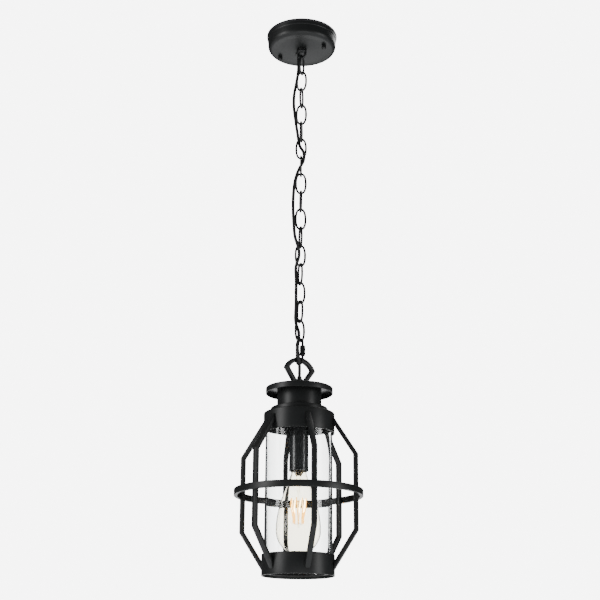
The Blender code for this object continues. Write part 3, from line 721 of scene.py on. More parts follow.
def swept(name: str, path: Sequence[Vector], radius: float, sides: int) -> bpy.types.Mesh:
    """A round bar along a path, with flat ends.

    Args:
        name: the mesh's name.
        path: the points of its middle line.
        radius: the bar's radius.
        sides: the flats round it.

    Returns:
        The closed mesh.
    """
    count = len(path)
    build = bmesh.new()
    tangents = [
        (path[min(i + 1, count - 1)] - path[max(i - 1, 0)]).normalized() for i in range(count)
    ]
    side = tangents[0].orthogonal().normalized()
    rings = []
    for i in range(count):
        side = (side - tangents[i] * side.dot(tangents[i])).normalized()
        other = tangents[i].cross(side)
        ring = []
        for k in range(sides):
            angle = 2 * math.pi * k / sides
            arm = math.cos(angle) * side + math.sin(angle) * other
            ring.append(build.verts.new(path[i] + radius * arm))
        rings.append(ring)
    for here, there in zip(rings, rings[1:]):
        for k in range(sides):
            n = (k + 1) % sides
            build.faces.new([here[k], here[n], there[n], there[k]])
    build.faces.new(rings[0])
    build.faces.new(list(reversed(rings[-1])))
    return mesh_from(build, name)


def pressed(
    name: str,
    outer: Profile,
    inner: Optional[Profile],
    thickness: float,
    edge: float,
    matrix: Matrix,
) -> bpy.types.Mesh:
    """A flat piece with rounded edges, from an outline and the outline of its hole.

    Args:
        name: the mesh's name.
        outer: the outside, in the piece's own plane.
        inner: the hole, or None.
        thickness: the piece's thickness.
        edge: the radius of its edges.
        matrix: turns and moves the plane to its place.

    Returns:
        The closed mesh, in place.
    """
    curve = bpy.data.curves.new(name, "CURVE")
    curve.dimensions = "2D"
    curve.fill_mode = "BOTH"
    curve.extrude = thickness / 2 - edge
    curve.bevel_depth = edge
    curve.bevel_resolution = 2
    curve.offset = -edge
    for outline in (outer, inner):
        if outline is None:
            continue
        spline = curve.splines.new("POLY")
        spline.points.add(len(outline) - 1)
        for point, (x, y) in zip(spline.points, outline):
            point.co = (x, y, 0.0, 1.0)
        spline.use_cyclic_u = True
    shape = bpy.data.objects.new(name, curve)
    bpy.context.scene.collection.objects.link(shape)
    return plain_mesh(shape, name, 2e-6, matrix)


def standing(yaw: float, z: float) -> Matrix:
    """Turns a flat outline upright, with its X along the yaw and its Y up.

    Args:
        yaw: degrees from +X towards +Y.
        z: the level of the outline's origin.

    Returns:
        The matrix.
    """
    along = level_direction(yaw)
    up = Vector((0.0, 0.0, 1.0))
    matrix = Matrix((along, up, along.cross(up))).transposed().to_4x4()
    matrix.translation = (0.0, 0.0, z)
    return matrix


class GeometryTree:
    """A Geometry Nodes tree with named inputs, run on a mesh and turned back into one."""

    def __init__(self, name: str, numbers: Sequence[str]) -> None:
        """Starts the tree.

        Args:
            name: the tree's name.
            numbers: its number inputs, by name.
        """
        self.tree = bpy.data.node_groups.new(name, "GeometryNodeTree")
        face = self.tree.interface
        face.new_socket("Geometry", in_out="INPUT", socket_type="NodeSocketGeometry")
        for label in numbers:
            face.new_socket(label, in_out="INPUT", socket_type="NodeSocketFloat")
        face.new_socket("Material", in_out="INPUT", socket_type="NodeSocketMaterial")
        face.new_socket("Geometry", in_out="OUTPUT", socket_type="NodeSocketGeometry")
        self.sheet = NodeSheet(self.tree)
        self.given = self.sheet.add("NodeGroupInput")

    def close(
        self, shape: bpy.types.NodeSocket, place: dict[str, object], yaw: object = 0.0
    ) -> None:
        """Sets the shape in its place and ends the tree with real geometry in its material.

        Args:
            shape: the geometry to put out.
            place: where it goes, by axis, each an output or a number.
            yaw: its turn about the vertical, an output or a number.
        """
        sheet = self.sheet
        lift = sheet.wired("ShaderNodeCombineXYZ", place)
        turn = sheet.wired("ShaderNodeCombineXYZ", {"Z": yaw})
        moves = {"Geometry": shape, "Rotation": turn.outputs[0], "Translation": lift.outputs[0]}
        set_down = sheet.wired("GeometryNodeTransform", moves)
        real = sheet.wired("GeometryNodeRealizeInstances", {"Geometry": set_down.outputs[0]})
        smooth = sheet.wired("GeometryNodeSetShadeSmooth", {"Geometry": real.outputs[0]})
        coat = {"Geometry": smooth.outputs[0], "Material": self.given.outputs["Material"]}
        dressed = sheet.wired("GeometryNodeSetMaterial", coat)
        sheet.wired("NodeGroupOutput", {"Geometry": dressed.outputs[0]})

    def run(
        self,
        name: str,
        values: dict[str, float],
        finish: Finish,
        start: Optional[bpy.types.Mesh] = None,
        sharp: float = SHARP,
    ) -> bpy.types.Object:
        """Runs the tree and keeps its result as a plain mesh.

        Args:
            name: the piece's name.
            values: the number inputs, by name.
            finish: the surface.
            start: the mesh that the tree works on, if it takes one.
            sharp: the angle over which an edge stays sharp.

        Returns:
            The piece, with no modifier.
        """
        base = bpy.data.objects.new(name + "_base", start or bpy.data.meshes.new(name + "_base"))
        bpy.context.scene.collection.objects.link(base)
        modifier = base.modifiers.new("tree", "NODES")
        modifier.node_group = self.tree
        for item in self.tree.interface.items_tree:
            if item.item_type != "SOCKET" or item.in_out != "INPUT":
                continue
            if item.name in values:
                modifier[item.identifier] = float(values[item.name])
            elif item.name == "Material":
                modifier[item.identifier] = finish.material()
        return add_piece(name, plain_mesh(base, name, SEAM), finish, sharp)


def link_tree() -> GeometryTree:
    """The tree of one chain link: an oval of round wire with the swelling of its weld.

    Returns:
        The tree.
    """
    made = GeometryTree(
        "oval_link", ["Wire", "Half Length", "Half Width", "Fullness", "Weld", "Height", "Yaw"]
    )
    sheet, given = made.sheet, made.given.outputs
    circle = "GeometryNodeCurvePrimitiveCircle"
    ring = sheet.wired(circle, {"Resolution": 72, "Radius": 1.0}, mode="RADIUS")
    position = sheet.add("GeometryNodeInputPosition").outputs[0]
    place = sheet.wired("ShaderNodeSeparateXYZ", {"Vector": position}).outputs
    sides = {}
    for axis, onto, size in (("X", "X", "Half Width"), ("Y", "Z", "Half Length")):
        full = sheet.math("POWER", sheet.math("ABSOLUTE", place[axis]), given["Fullness"])
        signed = sheet.math("MULTIPLY", full, sheet.math("SIGN", place[axis]))
        sides[onto] = sheet.math("MULTIPLY", signed, given[size])
    oval = sheet.wired("ShaderNodeCombineXYZ", sides)
    thick = sheet.math("ADD", given["Weld"], 1.0)
    start, full = 0.985, 0.999  # where the weld's swelling starts and is full, across the link
    weld = {"Value": place["X"], "From Min": start, "From Max": full, "To Min": 1.0}
    near = sheet.wired("ShaderNodeMapRange", weld | {"To Max": thick})
    swelling = {"Curve": ring.outputs[0], "Radius": near.outputs[0]}
    swollen = sheet.wired("GeometryNodeSetCurveRadius", swelling)
    shape = {"Geometry": swollen.outputs[0], "Position": oval.outputs[0]}
    moved = sheet.wired("GeometryNodeSetPosition", shape)
    section = sheet.wired(circle, {"Resolution": 18, "Radius": given["Wire"]}, mode="RADIUS")
    outlines = {"Curve": moved.outputs[0], "Profile Curve": section.outputs[0]}
    radius = sheet.add("GeometryNodeInputRadius").outputs[0]
    bar = sheet.wired("GeometryNodeCurveToMesh", outlines | {"Scale": radius})
    made.close(bar.outputs[0], {"Z": given["Height"]}, given["Yaw"])
    return made


def round_tree() -> GeometryTree:
    """The tree that sets copies of its mesh evenly round a vertical axis.

    Returns:
        The tree.
    """
    made = GeometryTree("copies_round_axis", ["Count", "First Yaw", "Place X", "Place Y"])
    sheet, given = made.sheet, made.given.outputs
    points = sheet.wired("GeometryNodePoints", {"Count": given["Count"]})
    share = sheet.math("DIVIDE", sheet.add("GeometryNodeInputIndex").outputs[0], given["Count"])
    turn = sheet.math("MULTIPLY_ADD", share, 2 * math.pi, given["First Yaw"])
    euler = sheet.wired("ShaderNodeCombineXYZ", {"Z": turn})
    rotation = sheet.wired("FunctionNodeEulerToRotation", {"Euler": euler.outputs[0]})
    inputs = {
        "Points": points.outputs[0],
        "Instance": given["Geometry"],
        "Rotation": rotation.outputs[0],
    }
    copies = sheet.wired("GeometryNodeInstanceOnPoints", inputs)
    made.close(copies.outputs[0], {"X": given["Place X"], "Y": given["Place Y"]})
    return made


def hoop_tree() -> GeometryTree:
    """The tree of a hoop: a rounded rectangular section taken round a circle.

    Returns:
        The tree.
    """
    made = GeometryTree("rounded_hoop", ["Outer Radius", "Wall", "Height", "Edge", "Level"])
    sheet, given = made.sheet, made.given.outputs
    half_wall = sheet.math("MULTIPLY", given["Wall"], 0.5)
    radius = sheet.math("SUBTRACT", given["Outer Radius"], half_wall)
    circle = {"Resolution": 160, "Radius": radius}
    ring = sheet.wired("GeometryNodeCurvePrimitiveCircle", circle, mode="RADIUS")
    sides = {"Width": given["Wall"], "Height": given["Height"]}
    section = sheet.wired("GeometryNodeCurvePrimitiveQuadrilateral", sides, mode="RECTANGLE")
    fillet = {"Curve": section.outputs[0], "Count": 4, "Radius": given["Edge"]}
    soft = sheet.wired("GeometryNodeFilletCurve", fillet, mode="POLY")
    outlines = {"Curve": ring.outputs[0], "Profile Curve": soft.outputs[0]}
    hoop = sheet.wired("GeometryNodeCurveToMesh", outlines)
    made.close(hoop.outputs[0], {"Z": given["Level"]})
    return made


@dataclass
class Trees:
    """The Geometry Nodes trees that the sub-assemblies share."""

    link: GeometryTree
    around: GeometryTree
    hoop: GeometryTree

    @classmethod
    def build(cls) -> "Trees":
        """Builds each tree once."""
        return cls(link_tree(), round_tree(), hoop_tree())

    def copies(
        self,
        name: str,
        mesh: bpy.types.Mesh,
        count: int,
        first_yaw: float,
        finish: Finish,
        place: tuple[float, float] = (0.0, 0.0),
        sharp: float = SHARP,
    ) -> bpy.types.Object:
        """Copies of a mesh, evenly round a vertical axis.

        Args:
            name: the piece's name.
            mesh: the mesh to copy.
            count: how many there are.
            first_yaw: the first one's turn, in radians.
            finish: their surface.
            place: where the axis stands.
            sharp: the angle in degrees over which an edge stays sharp.

        Returns:
            The piece.
        """
        sizes = {"Count": count, "First Yaw": first_yaw, "Place X": place[0], "Place Y": place[1]}
        return self.around.run(name, sizes, finish, start=mesh, sharp=sharp)

    def lantern_hoop(
        self, name: str, node: str, wall: float, edge: float, finish: Finish, slot: Slot
    ) -> None:
        """A hoop on the lantern, in the place of a frame node.

        Args:
            name: the piece's name.
            node: the node whose box it fills.
            wall: the hoop's wall.
            edge: the radius of its edges.
            finish: its surface.
            slot: the slot its finish belongs to.
        """
        box = NodeBox.of(node)
        sizes = {
            "Outer Radius": box.radius,
            "Wall": wall,
            "Height": box.height,
            "Edge": edge,
            "Level": box.middle.z,
        }
        fit(self.hoop.run(name, sizes, finish), Body.LANTERN, slot, node)


@dataclass
class Studio:
    """The camera, the lights and the pale room."""

    yaw: float = 27.3
    pitch: float = 18.468
    roll: float = 0.423
    distance: float = 1.8362
    below: float = 0.2879
    lens: float = 68.89
    sensor: float = 36.0
    floor_level: float = -1.75
    floor_radius: float = 4.0
    aim_level: float = -0.55
    surround: float = 7.0
    matt_fill: float = 0.9
    gloss_fill: float = 0.06

    def camera(self) -> None:
        """Stands the camera low in front of the lantern, looking up at it."""
        data = bpy.data.cameras.new("camera")
        data.sensor_width = self.sensor
        data.lens = self.lens
        data.clip_end = 100.0
        camera = bpy.data.objects.new("camera", data)
        bpy.context.scene.collection.objects.link(camera)
        back = level_direction(self.yaw - 90.0)
        ring = NodeBox.of("middle_ring").middle.z
        turn = (
            Matrix.Rotation(math.radians(self.yaw), 4, "Z")
            @ Matrix.Rotation(math.radians(90.0 + self.pitch), 4, "X")
            @ Matrix.Rotation(math.radians(self.roll), 4, "Z")
        )
        spot = back * self.distance + Vector((0.0, 0.0, ring - self.below))
        camera.matrix_world = Matrix.Translation(spot) @ turn
        bpy.context.scene.camera = camera

    def softbox(
        self,
        name: str,
        yaw: float,
        distance: float,
        level: float,
        size: tuple[float, float],
        power: float,
    ) -> None:
        """Hangs one soft light that faces the lantern.

        Args:
            name: the light's name.
            yaw: where it stands round the lantern.
            distance: how far from the lantern's axis.
            level: its height.
            size: its width and height.
            power: its power in watts.
        """
        data = bpy.data.lights.new(name, "AREA")
        data.shape = "RECTANGLE"
        data.size, data.size_y = size
        data.energy = power
        light = bpy.data.objects.new(name, data)
        bpy.context.scene.collection.objects.link(light)
        place = level_direction(yaw) * distance + Vector((0.0, 0.0, level))
        aim = Vector((0.0, 0.0, self.aim_level)) - place
        turn = aim.to_track_quat("-Z", "Y").to_matrix().to_4x4()
        light.matrix_world = Matrix.Translation(place) @ turn

    def room(self) -> None:
        """A pale floor, and a white surround that lights the metal less than it shows."""
        build = bmesh.new()
        bmesh.ops.create_circle(build, cap_ends=True, segments=64, radius=self.floor_radius)
        bmesh.ops.translate(build, verts=build.verts, vec=(0.0, 0.0, self.floor_level))
        mesh = bpy.data.meshes.new("floor")
        build.to_mesh(mesh)
        build.free()
        floor = bpy.data.objects.new("floor", mesh)
        bpy.context.scene.collection.objects.link(floor)
        pale = bpy.data.materials.new("pale_floor")
        pale.use_nodes = True
        paint = pale.node_tree.nodes["Principled BSDF"].inputs
        paint["Base Color"].default_value = (0.9, 0.9, 0.9, 1.0)
        paint["Roughness"].default_value = 0.8
        mesh.materials.append(pale)
        world = bpy.data.worlds.new("white_surround")
        bpy.context.scene.world = world
        world.use_nodes = True
        sheet = NodeSheet(world.node_tree)
        path = sheet.add("ShaderNodeLightPath").outputs
        seen = sheet.math("MAXIMUM", path["Is Camera Ray"], path["Is Transmission Ray"])
        fill = sheet.math("MULTIPLY_ADD", path["Is Diffuse Ray"], self.matt_fill, self.gloss_fill)
        dim, white = (
            sheet.wired("ShaderNodeBackground", {"Color": colour, "Strength": strength}).outputs[0]
            for colour, strength in (
                ((0.94, 0.97, 1.0, 1.0), fill),
                ((1.0, 1.0, 1.0, 1.0), self.surround),
            )
        )
        mix = sheet.add("ShaderNodeMixShader")
        for socket, value in zip(mix.inputs, (seen, dim, white)):
            sheet.feed(socket, value)
        sheet.wired("ShaderNodeOutputWorld", {"Surface": mix.outputs[0]})

    def build(self) -> None:
        """Sets up the whole studio."""
        self.camera()
        self.room()
        front = self.yaw - 90.0
        self.softbox("left_softbox", front - 62.0, 1.9, -0.35, (0.7, 1.6), 26.0)
        self.softbox("right_softbox", front + 66.0, 2.0, -0.8, (0.5, 1.0), 14.0)
        self.softbox("top_softbox", front + 150.0, 1.3, 1.0, (1.2, 1.2), 22.0)
        self.softbox("back_softbox", front + 178.0, 1.7, -1.35, (1.5, 0.4), 6.0)
        self.softbox("low_softbox", front + 8.0, 1.5, -1.5, (1.1, 0.5), 4.0)


@dataclass
class Canopy:
    """The ceiling pan and what holds it, the chain and the cord to the ceiling."""

    trees: Trees
    wall: float = 1.2 * MM
    rim_height: float = 3.0 * MM
    bead: float = 0.9 * MM
    shoulder: float = 11.0 * MM
    dish: float = 1.6 * MM
    lean: float = 0.4 * MM
    fold_drop: float = 9.0 * MM
    dish_start: float = 18.0 * MM
    rib_count: int = 26
    rib_radius: float = 0.26 * MM
    collar_height: float = 5.0 * MM
    collar_radius: float = 8.7 * MM
    bow_wire: float = 2.2 * MM
    bow_steps: int = 24

    def pan(self) -> None:
        """The pressed pan: a stepped rim, a round shoulder and a faintly dished face."""
        box = NodeBox.of("canopy_pan")
        rim, top, bottom = box.radius, box.top, box.bottom
        hole = NodeBox.of("loop_stud").radius + 0.3 * MM
        side = rim - self.bead
        low = side - self.lean
        fold = top - self.fold_drop
        inside = bottom + self.wall
        corners = [
            (rim, top, 0.2 * MM),
            (rim, top - self.rim_height, 0.5 * MM),
            (side, top - self.rim_height - 0.6 * MM, 0.25 * MM),
            (low, fold, 0.8 * MM),
            (low - 0.6 * MM, fold - 0.9 * MM, 0.8 * MM),
            (low - 1.2 * MM, bottom + 0.2 * MM, self.shoulder),
            (low - self.dish_start, bottom, 12.0 * MM),
            (hole, bottom + self.dish, 0.2 * MM),
            (hole, bottom + self.dish + self.wall, 0.1 * MM),
            (low - self.dish_start, inside, 12.0 * MM),
            (low - 2.9 * MM, inside + 0.2 * MM, self.shoulder - self.wall),
            (low - 2.6 * MM, top, 0.1 * MM),
        ]
        pan = turned_piece("pan_shell", corners, 7, 144, SATIN_BLACK)
        fit(pan, Body.CANOPY, Slot.COAT, "canopy_pan")

    def cap_nuts(self) -> None:
        """The two knurled cap nuts, with ribs set round each."""
        for number in (1, 2):
            node = f"canopy_nut_{number}"
            box = NodeBox.of(node)
            radius, top, bottom = box.radius - 0.25 * MM, box.top, box.bottom
            crown = [
                (0.0, top, 0.0),
                (radius - 0.2 * MM, top, 0.2 * MM),
                (radius, top - 0.8 * MM, 0.3 * MM),
                (radius, bottom + 2.0 * MM, 1.2 * MM),
                (radius - 1.5 * MM, bottom, 1.2 * MM),
                (0.0, bottom, 0.0),
            ]
            place = (box.middle.x, box.middle.y)
            nut = turned_piece(f"cap_nut_{number}", crown, 4, 48, SATIN_BLACK, place)
            fit(nut, Body.CANOPY, Slot.COAT, node)
            rib_path = [Vector((radius, 0.0, z)) for z in (top - 0.5 * MM, bottom + 2.4 * MM)]
            rib = swept(f"rib_{number}", rib_path, self.rib_radius, 6)
            knurl = self.trees.copies(
                f"cap_nut_knurl_{number}", rib, self.rib_count, 0.0, SATIN_BLACK, place
            )
            fit(knurl, Body.CANOPY, Slot.COAT)

    def loop(self) -> None:
        """The screwed collar and the bow below it that the first link hangs in."""
        box = NodeBox.of("canopy_loop")
        radius = box.middle.x + self.collar_radius
        bottom = box.top - self.collar_height
        collar = [
            (0.0, box.top, 0.0),
            (radius, box.top, 0.5 * MM),
            (radius, bottom + 1.8 * MM, 0.8 * MM),
            (radius - 0.7 * MM, bottom + 1.2 * MM, 0.4 * MM),
            (radius - 1.6 * MM, bottom, 0.7 * MM),
            (0.0, bottom, 0.0),
        ]
        piece = turned_piece("loop_collar", collar, 4, 64, SATIN_BLACK)
        fit(piece, Body.CANOPY, Slot.COAT, "canopy_loop")
        half = box.radius - self.bow_wire
        bend = box.bottom + self.bow_wire + half
        top = bottom + 0.6 * MM
        path = [Vector((half, 0.0, top))]
        for step in range(self.bow_steps + 1):
            angle = math.pi * step / self.bow_steps
            path.append(Vector((half * math.cos(angle), 0.0, bend - half * math.sin(angle))))
        path.append(Vector((-half, 0.0, top)))
        bow = add_piece("loop_bow", swept("loop_bow", path, self.bow_wire, 20), LINK_BLACK)
        fit(bow, Body.CANOPY, Slot.COAT)

    def build(self) -> None:
        """Makes the pan, its nuts and the loop."""
        self.pan()
        self.cap_nuts()
        self.loop()


@dataclass
class Chain:
    """The sixteen links, and the quick link with its sleeve."""

    trees: Trees
    count: int = 16
    wire: float = 3.8 * MM
    outer_width: float = 20.8 * MM
    twist: float = 93.8
    fullness: float = 0.86
    weld: float = 0.06
    quick_wire: float = 4.0 * MM
    quick_outer_width: float = 20.0 * MM
    quick_slot: float = 5.0 * MM
    sleeve_flats: float = 8.0 * MM

    def links(self) -> None:
        """Sets one link for each frame node, from the same tree."""
        for k in range(1, self.count + 1):
            node = f"chain_link_{k:02d}"
            box = NodeBox.of(node)
            sizes = {
                "Wire": self.wire / 2,
                "Half Length": (box.height - self.wire) / 2,
                "Half Width": (self.outer_width - self.wire) / 2,
                "Fullness": self.fullness,
                "Weld": self.weld,
                "Height": box.middle.z,
                "Yaw": math.radians(self.twist * k),
            }
            piece = self.trees.link.run(f"link_{k:02d}_wire", sizes, LINK_BLACK, sharp=SOFT_SHARP)
            fit(piece, f"link_{k:02d}", Slot.COAT, node)

    def quick_link(self) -> None:
        """The long open link: straight legs, round ends, and a slot that the sleeve covers."""
        box = NodeBox.of("quick_link")
        sleeve = NodeBox.of("quick_link_nut")
        along = -level_direction(self.twist * (self.count + 1))
        radius = (self.quick_outer_width - self.quick_wire) / 2
        straight = (box.height - self.quick_wire) / 2 - radius
        slot_low = sleeve.bottom - box.middle.z + 1.0 * MM
        flat = [(radius, slot_low + self.quick_slot), (radius, straight)]
        for start in (0, 180):
            for step in range(1, 18):
                angle = math.radians(start + 10 * step)
                middle = straight if start == 0 else -straight
                flat.append((radius * math.cos(angle), middle + radius * math.sin(angle)))
            if start == 0:
                flat += [(-radius, straight), (-radius, -straight)]
        flat += [(radius, -straight), (radius, slot_low)]
        path = [along * across + Vector((0.0, 0.0, box.middle.z + up)) for across, up in flat]
        wire = swept("quick_link_wire", path, self.quick_wire / 2, 20)
        piece = add_piece("quick_link_wire", wire, LINK_BLACK)
        fit(piece, Body.QUICK_LINK, Slot.COAT, "quick_link")

    def sleeve(self) -> None:
        """The hexagonal screwed sleeve with chamfered ends."""
        box = NodeBox.of("quick_link_nut")
        bore = self.quick_wire / 2 + 0.15 * MM
        flats = self.sleeve_flats / 2
        corner = flats / math.cos(math.pi / 6)

        def hexagonal(radius: float, height: float, angle: float) -> float:
            """Brings the turned outside in to the hexagon's flats.

            Args:
                radius: the point's radius.
                height: its height.
                angle: its angle.

            Returns:
                What to add to the radius.
            """
            if radius < bore + 0.2 * MM:
                return 0.0
            fold = (angle + math.pi / 6) % (math.pi / 3) - math.pi / 6
            return min(flats / math.cos(fold) - radius, 0.0)

        chamfer, run = 0.9 * MM, 1.1 * MM
        outline = [
            (bore, box.top, 0.1 * MM),
            (corner - run, box.top, 0.2 * MM),
            (corner, box.top - chamfer, 0.2 * MM),
            (corner, box.bottom + chamfer, 0.2 * MM),
            (corner - run, box.bottom, 0.2 * MM),
            (bore, box.bottom, 0.1 * MM),
        ]
        place = (box.middle.x, box.middle.y)
        mesh = turned("sleeve_hex", rounded(outline, 3), 96, hexagonal, place)
        piece = add_piece("sleeve_hex", mesh, LINK_BLACK, 20.0)
        fit(piece, Body.SLEEVE, Slot.COAT, "quick_link_nut")

    def build(self) -> None:
        """Makes the whole chain."""
        self.links()
        self.quick_link()
        self.sleeve()


@dataclass
class SupplyCord:
    """The cord that winds down through the chain, in stretches from link to link."""

    radius: float = 2.7 * MM
    spacing: float = 2.2 * MM
    link_count: int = 16
    leave_canopy: float = -0.031
    reach_hub: float = -0.630

    def middle_line(self) -> list[Vector]:
        """The natural cubic spline through the route's points.

        Returns:
            Points about one spacing apart.
        """
        places = np.array([(x, y, z) for z, x, y in CORD_ROUTE])
        spans = np.linalg.norm(np.diff(places, axis=0), axis=1)
        slopes = np.diff(places, axis=0) / spans[:, None]
        system = np.eye(len(places))
        right = np.zeros_like(places)
        for i in range(1, len(places) - 1):
            system[i, i - 1 : i + 2] = spans[i - 1], 2 * (spans[i - 1] + spans[i]), spans[i]
            right[i] = 6 * (slopes[i] - slopes[i - 1])
        bends = np.linalg.solve(system, right)
        found: list[Vector] = []
        for i, span in enumerate(spans):
            steps = max(2, round(span / self.spacing))
            for t in np.arange(steps) / steps:
                u = 1 - t
                point = u * places[i] + t * places[i + 1]
                point = point + span**2 / 6 * ((u**3 - u) * bends[i] + (t**3 - t) * bends[i + 1])
                found.append(Vector(point))
        found.append(Vector(places[-1]))
        return found

    def stations(self) -> list[tuple[str, float]]:
        """The bodies that the cord passes, with the level at which it is cut at each.

        Returns:
            Body names and levels, from the ceiling down.
        """
        found = [(Body.CANOPY.value, self.leave_canopy)]
        for k in range(1, self.link_count + 1):
            found.append((f"link_{k:02d}", NodeBox.of(f"chain_link_{k:02d}").middle.z))
        found.append((Body.QUICK_LINK.value, NodeBox.of("quick_link").middle.z))
        found.append((Body.LANTERN.value, self.reach_hub))
        return found

    def build(self) -> None:
        """Cuts the cord at each station and sweeps each stretch between two stations as its own
        piece.
        """
        line = self.middle_line()
        stations = self.stations()
        levels = [z for _, z in stations]
        total = sum((b - a).length for a, b in zip(line, line[1:]))
        LOG.info("cord length %.0f mm", total / MM)
        for number, ((upper, high), (lower, low)) in enumerate(zip(stations, stations[1:]), 1):
            first = number == 1
            last = number == len(stations) - 1
            top = line[0].z if first else levels[number - 1]
            bottom = line[-1].z if last else levels[number]
            inside = [p for p in line if bottom + 0.2 * MM < p.z < top - 0.2 * MM]
            stretch = [self.at_level(line, top), *inside, self.at_level(line, bottom)]
            name = f"cord_stretch_{number:02d}"
            piece = add_piece(name, swept(name, stretch, self.radius, 18), CORD_BLACK, SOFT_SHARP)
            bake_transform(piece)
            if first:
                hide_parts("supply_cord")
            LOG.info("%s from %s to %s", name, upper, lower)

    @staticmethod
    def at_level(line: Sequence[Vector], z: float) -> Vector:
        """The point where the cord crosses a level.

        Args:
            line: its middle line, running down.
            z: the level.

        Returns:
            The crossing.
        """
        for a, b in zip(line, line[1:]):
            if a.z >= z >= b.z and a.z > b.z:
                return a.lerp(b, (a.z - z) / (a.z - b.z))
        return line[-1].copy() if z < line[-1].z else line[0].copy()


@dataclass
class HangingLoop:
    """The fan-shaped loop on its hub, with the grommet that the cord goes in by."""

    yaw: float = 62.0
    bar: float = 7.5 * MM
    half_width: float = 29.9 * MM
    rise: float = 20.0 * MM
    foot: float = 7.4 * MM
    hub_height: float = 15.0 * MM
    hub_radius: float = 7.5 * MM
    edge: float = 1.1 * MM
    bore: float = 3.0 * MM

    def outlines(self, leg: float) -> tuple[Profile, Profile]:
        """The fan's outside and the outline of its eye.

        Args:
            leg: the height from the foot to the corners.

        Returns:
            The two outlines, foot at zero.
        """
        radius = (self.half_width**2 + self.rise**2) / (2 * self.rise)
        centre = leg + self.rise - radius
        slope = (self.half_width - self.foot) / leg
        shift = self.bar * math.sqrt(1 + slope**2)
        back = self.foot - shift
        inner_radius = radius - self.bar
        first, half = 1 + slope**2, slope * back - centre
        last = back**2 + centre**2 - inner_radius**2
        meet = (math.sqrt(half**2 - first * last) - half) / first
        outer_angle = math.asin(self.half_width / radius)
        inner_angle = math.atan2(back + slope * meet, meet - centre)
        outer = [(x, z, 0.0) for x, z in self.arc(centre, radius, outer_angle, 28)]
        outer[0] = (*outer[0][:2], 2.4 * MM)
        outer[-1] = (*outer[-1][:2], 2.4 * MM)
        lift = 1.5 * MM
        outer += [(-self.foot - slope * lift, lift, 0.0), (self.foot + slope * lift, lift, 0.0)]
        inner = [(x, z, 0.0) for x, z in self.arc(centre, inner_radius, inner_angle, 24)]
        inner[0] = (*inner[0][:2], 1.6 * MM)
        inner[-1] = (*inner[-1][:2], 1.6 * MM)
        inner.append((0.0, -back / slope, 0.8 * MM))
        return rounded(outer, 6), rounded(inner, 5)

    @staticmethod
    def arc(centre: float, radius: float, reach: float, count: int) -> Profile:
        """An arc over the top, from right to left.

        Args:
            centre: the height of its middle.
            radius: its radius.
            reach: the angle to either side.
            count: its straight pieces.

        Returns:
            The points.
        """
        angles = [reach - 2 * reach * i / count for i in range(count + 1)]
        return [(radius * math.sin(a), centre + radius * math.cos(a)) for a in angles]

    def build(self) -> None:
        """Makes the fan, the hub and the grommet."""
        box = NodeBox.of("hanging_loop")
        outer, inner = self.outlines(box.height - self.rise)
        fan = pressed("loop_fan", outer, inner, self.bar, self.edge, standing(self.yaw, box.bottom))
        piece = add_piece("loop_fan", fan, SATIN_BLACK, 40.0)
        fit(piece, Body.LANTERN, Slot.COAT, "hanging_loop")
        top = box.bottom + self.hub_height
        bore = self.bore
        hub = [
            (bore, top, 0.3 * MM),
            (self.hub_radius - 3.3 * MM, top, 1.5 * MM),
            (self.hub_radius, top - 3.4 * MM, 2.2 * MM),
            (self.hub_radius, box.bottom + 1.2 * MM, 0.8 * MM),
            (self.hub_radius + 1.4 * MM, box.bottom, 0.3 * MM),
            (bore + 2.3 * MM, box.bottom, 0.1 * MM),
            (bore + 2.3 * MM, top - 3.2 * MM, 0.1 * MM),
            (bore, top - 3.2 * MM, 0.1 * MM),
        ]
        fit(turned_piece("loop_hub", hub, 5, 72, SATIN_BLACK), Body.LANTERN, Slot.COAT)
        seat = NodeBox.of("cord_grommet")
        ring = [
            (bore - 0.1 * MM, seat.top, 0.4 * MM),
            (bore + 0.9 * MM, seat.top, 0.5 * MM),
            (seat.radius, seat.bottom, 0.3 * MM),
            (bore - 0.1 * MM, seat.bottom, 0.1 * MM),
        ]
        grommet = turned_piece("grommet_ring", ring, 4, 48, MOULDED_BLACK)
        fit(grommet, Body.LANTERN, Slot.PLASTIC, "cord_grommet")


@dataclass
class LanternTop:
    """The dished top disc, the neck and the stepped disc over the upper band."""

    trees: Trees
    sheet: float = 1.5 * MM
    neck_edge: float = 0.5 * MM
    dish_share: float = 0.62

    def cover(self, name: str, node: str, wall: float, corner: float, step: float) -> None:
        """A spun cover that is open below.

        Args:
            name: the piece's name.
            node: the node whose place it takes.
            wall: its wall.
            corner: the radius of its upper edge.
            step: how far its face steps down towards the middle.
        """
        box = NodeBox.of(node)
        radius, top, bottom = box.radius, box.top, box.bottom
        dish = radius * self.dish_share
        outline = [
            (STEM_HOLE, top, 0.1 * MM),
            (dish, top, 2.0 * MM),
            (dish + 2.0 * step, top - step, 2.0 * MM),
            (radius, top - step, corner),
            (radius, bottom, 0.5 * MM),
            (radius - wall, bottom, 0.4 * MM),
            (radius - wall, top - step - wall, 0.1 * MM),
            (dish + 2.0 * step, top - step - wall, 1.0 * MM),
            (dish, top - wall, 1.0 * MM),
            (STEM_HOLE, top - wall, 0.1 * MM),
        ]
        piece = turned_piece(name, outline, 6, 160, SATIN_BLACK)
        fit(piece, Body.LANTERN, Slot.COAT, node)

    def build(self) -> None:
        """Makes the three turned pieces."""
        self.cover("top_cover", "top_disc", self.sheet, 1.4 * MM, 0.9 * MM)
        self.cover("step_cover", "step_disc", self.sheet, 1.2 * MM, 0.5 * MM)
        neck = (self.sheet, self.neck_edge, SATIN_BLACK, Slot.COAT)
        self.trees.lantern_hoop("neck_sleeve", "neck_tube", *neck)


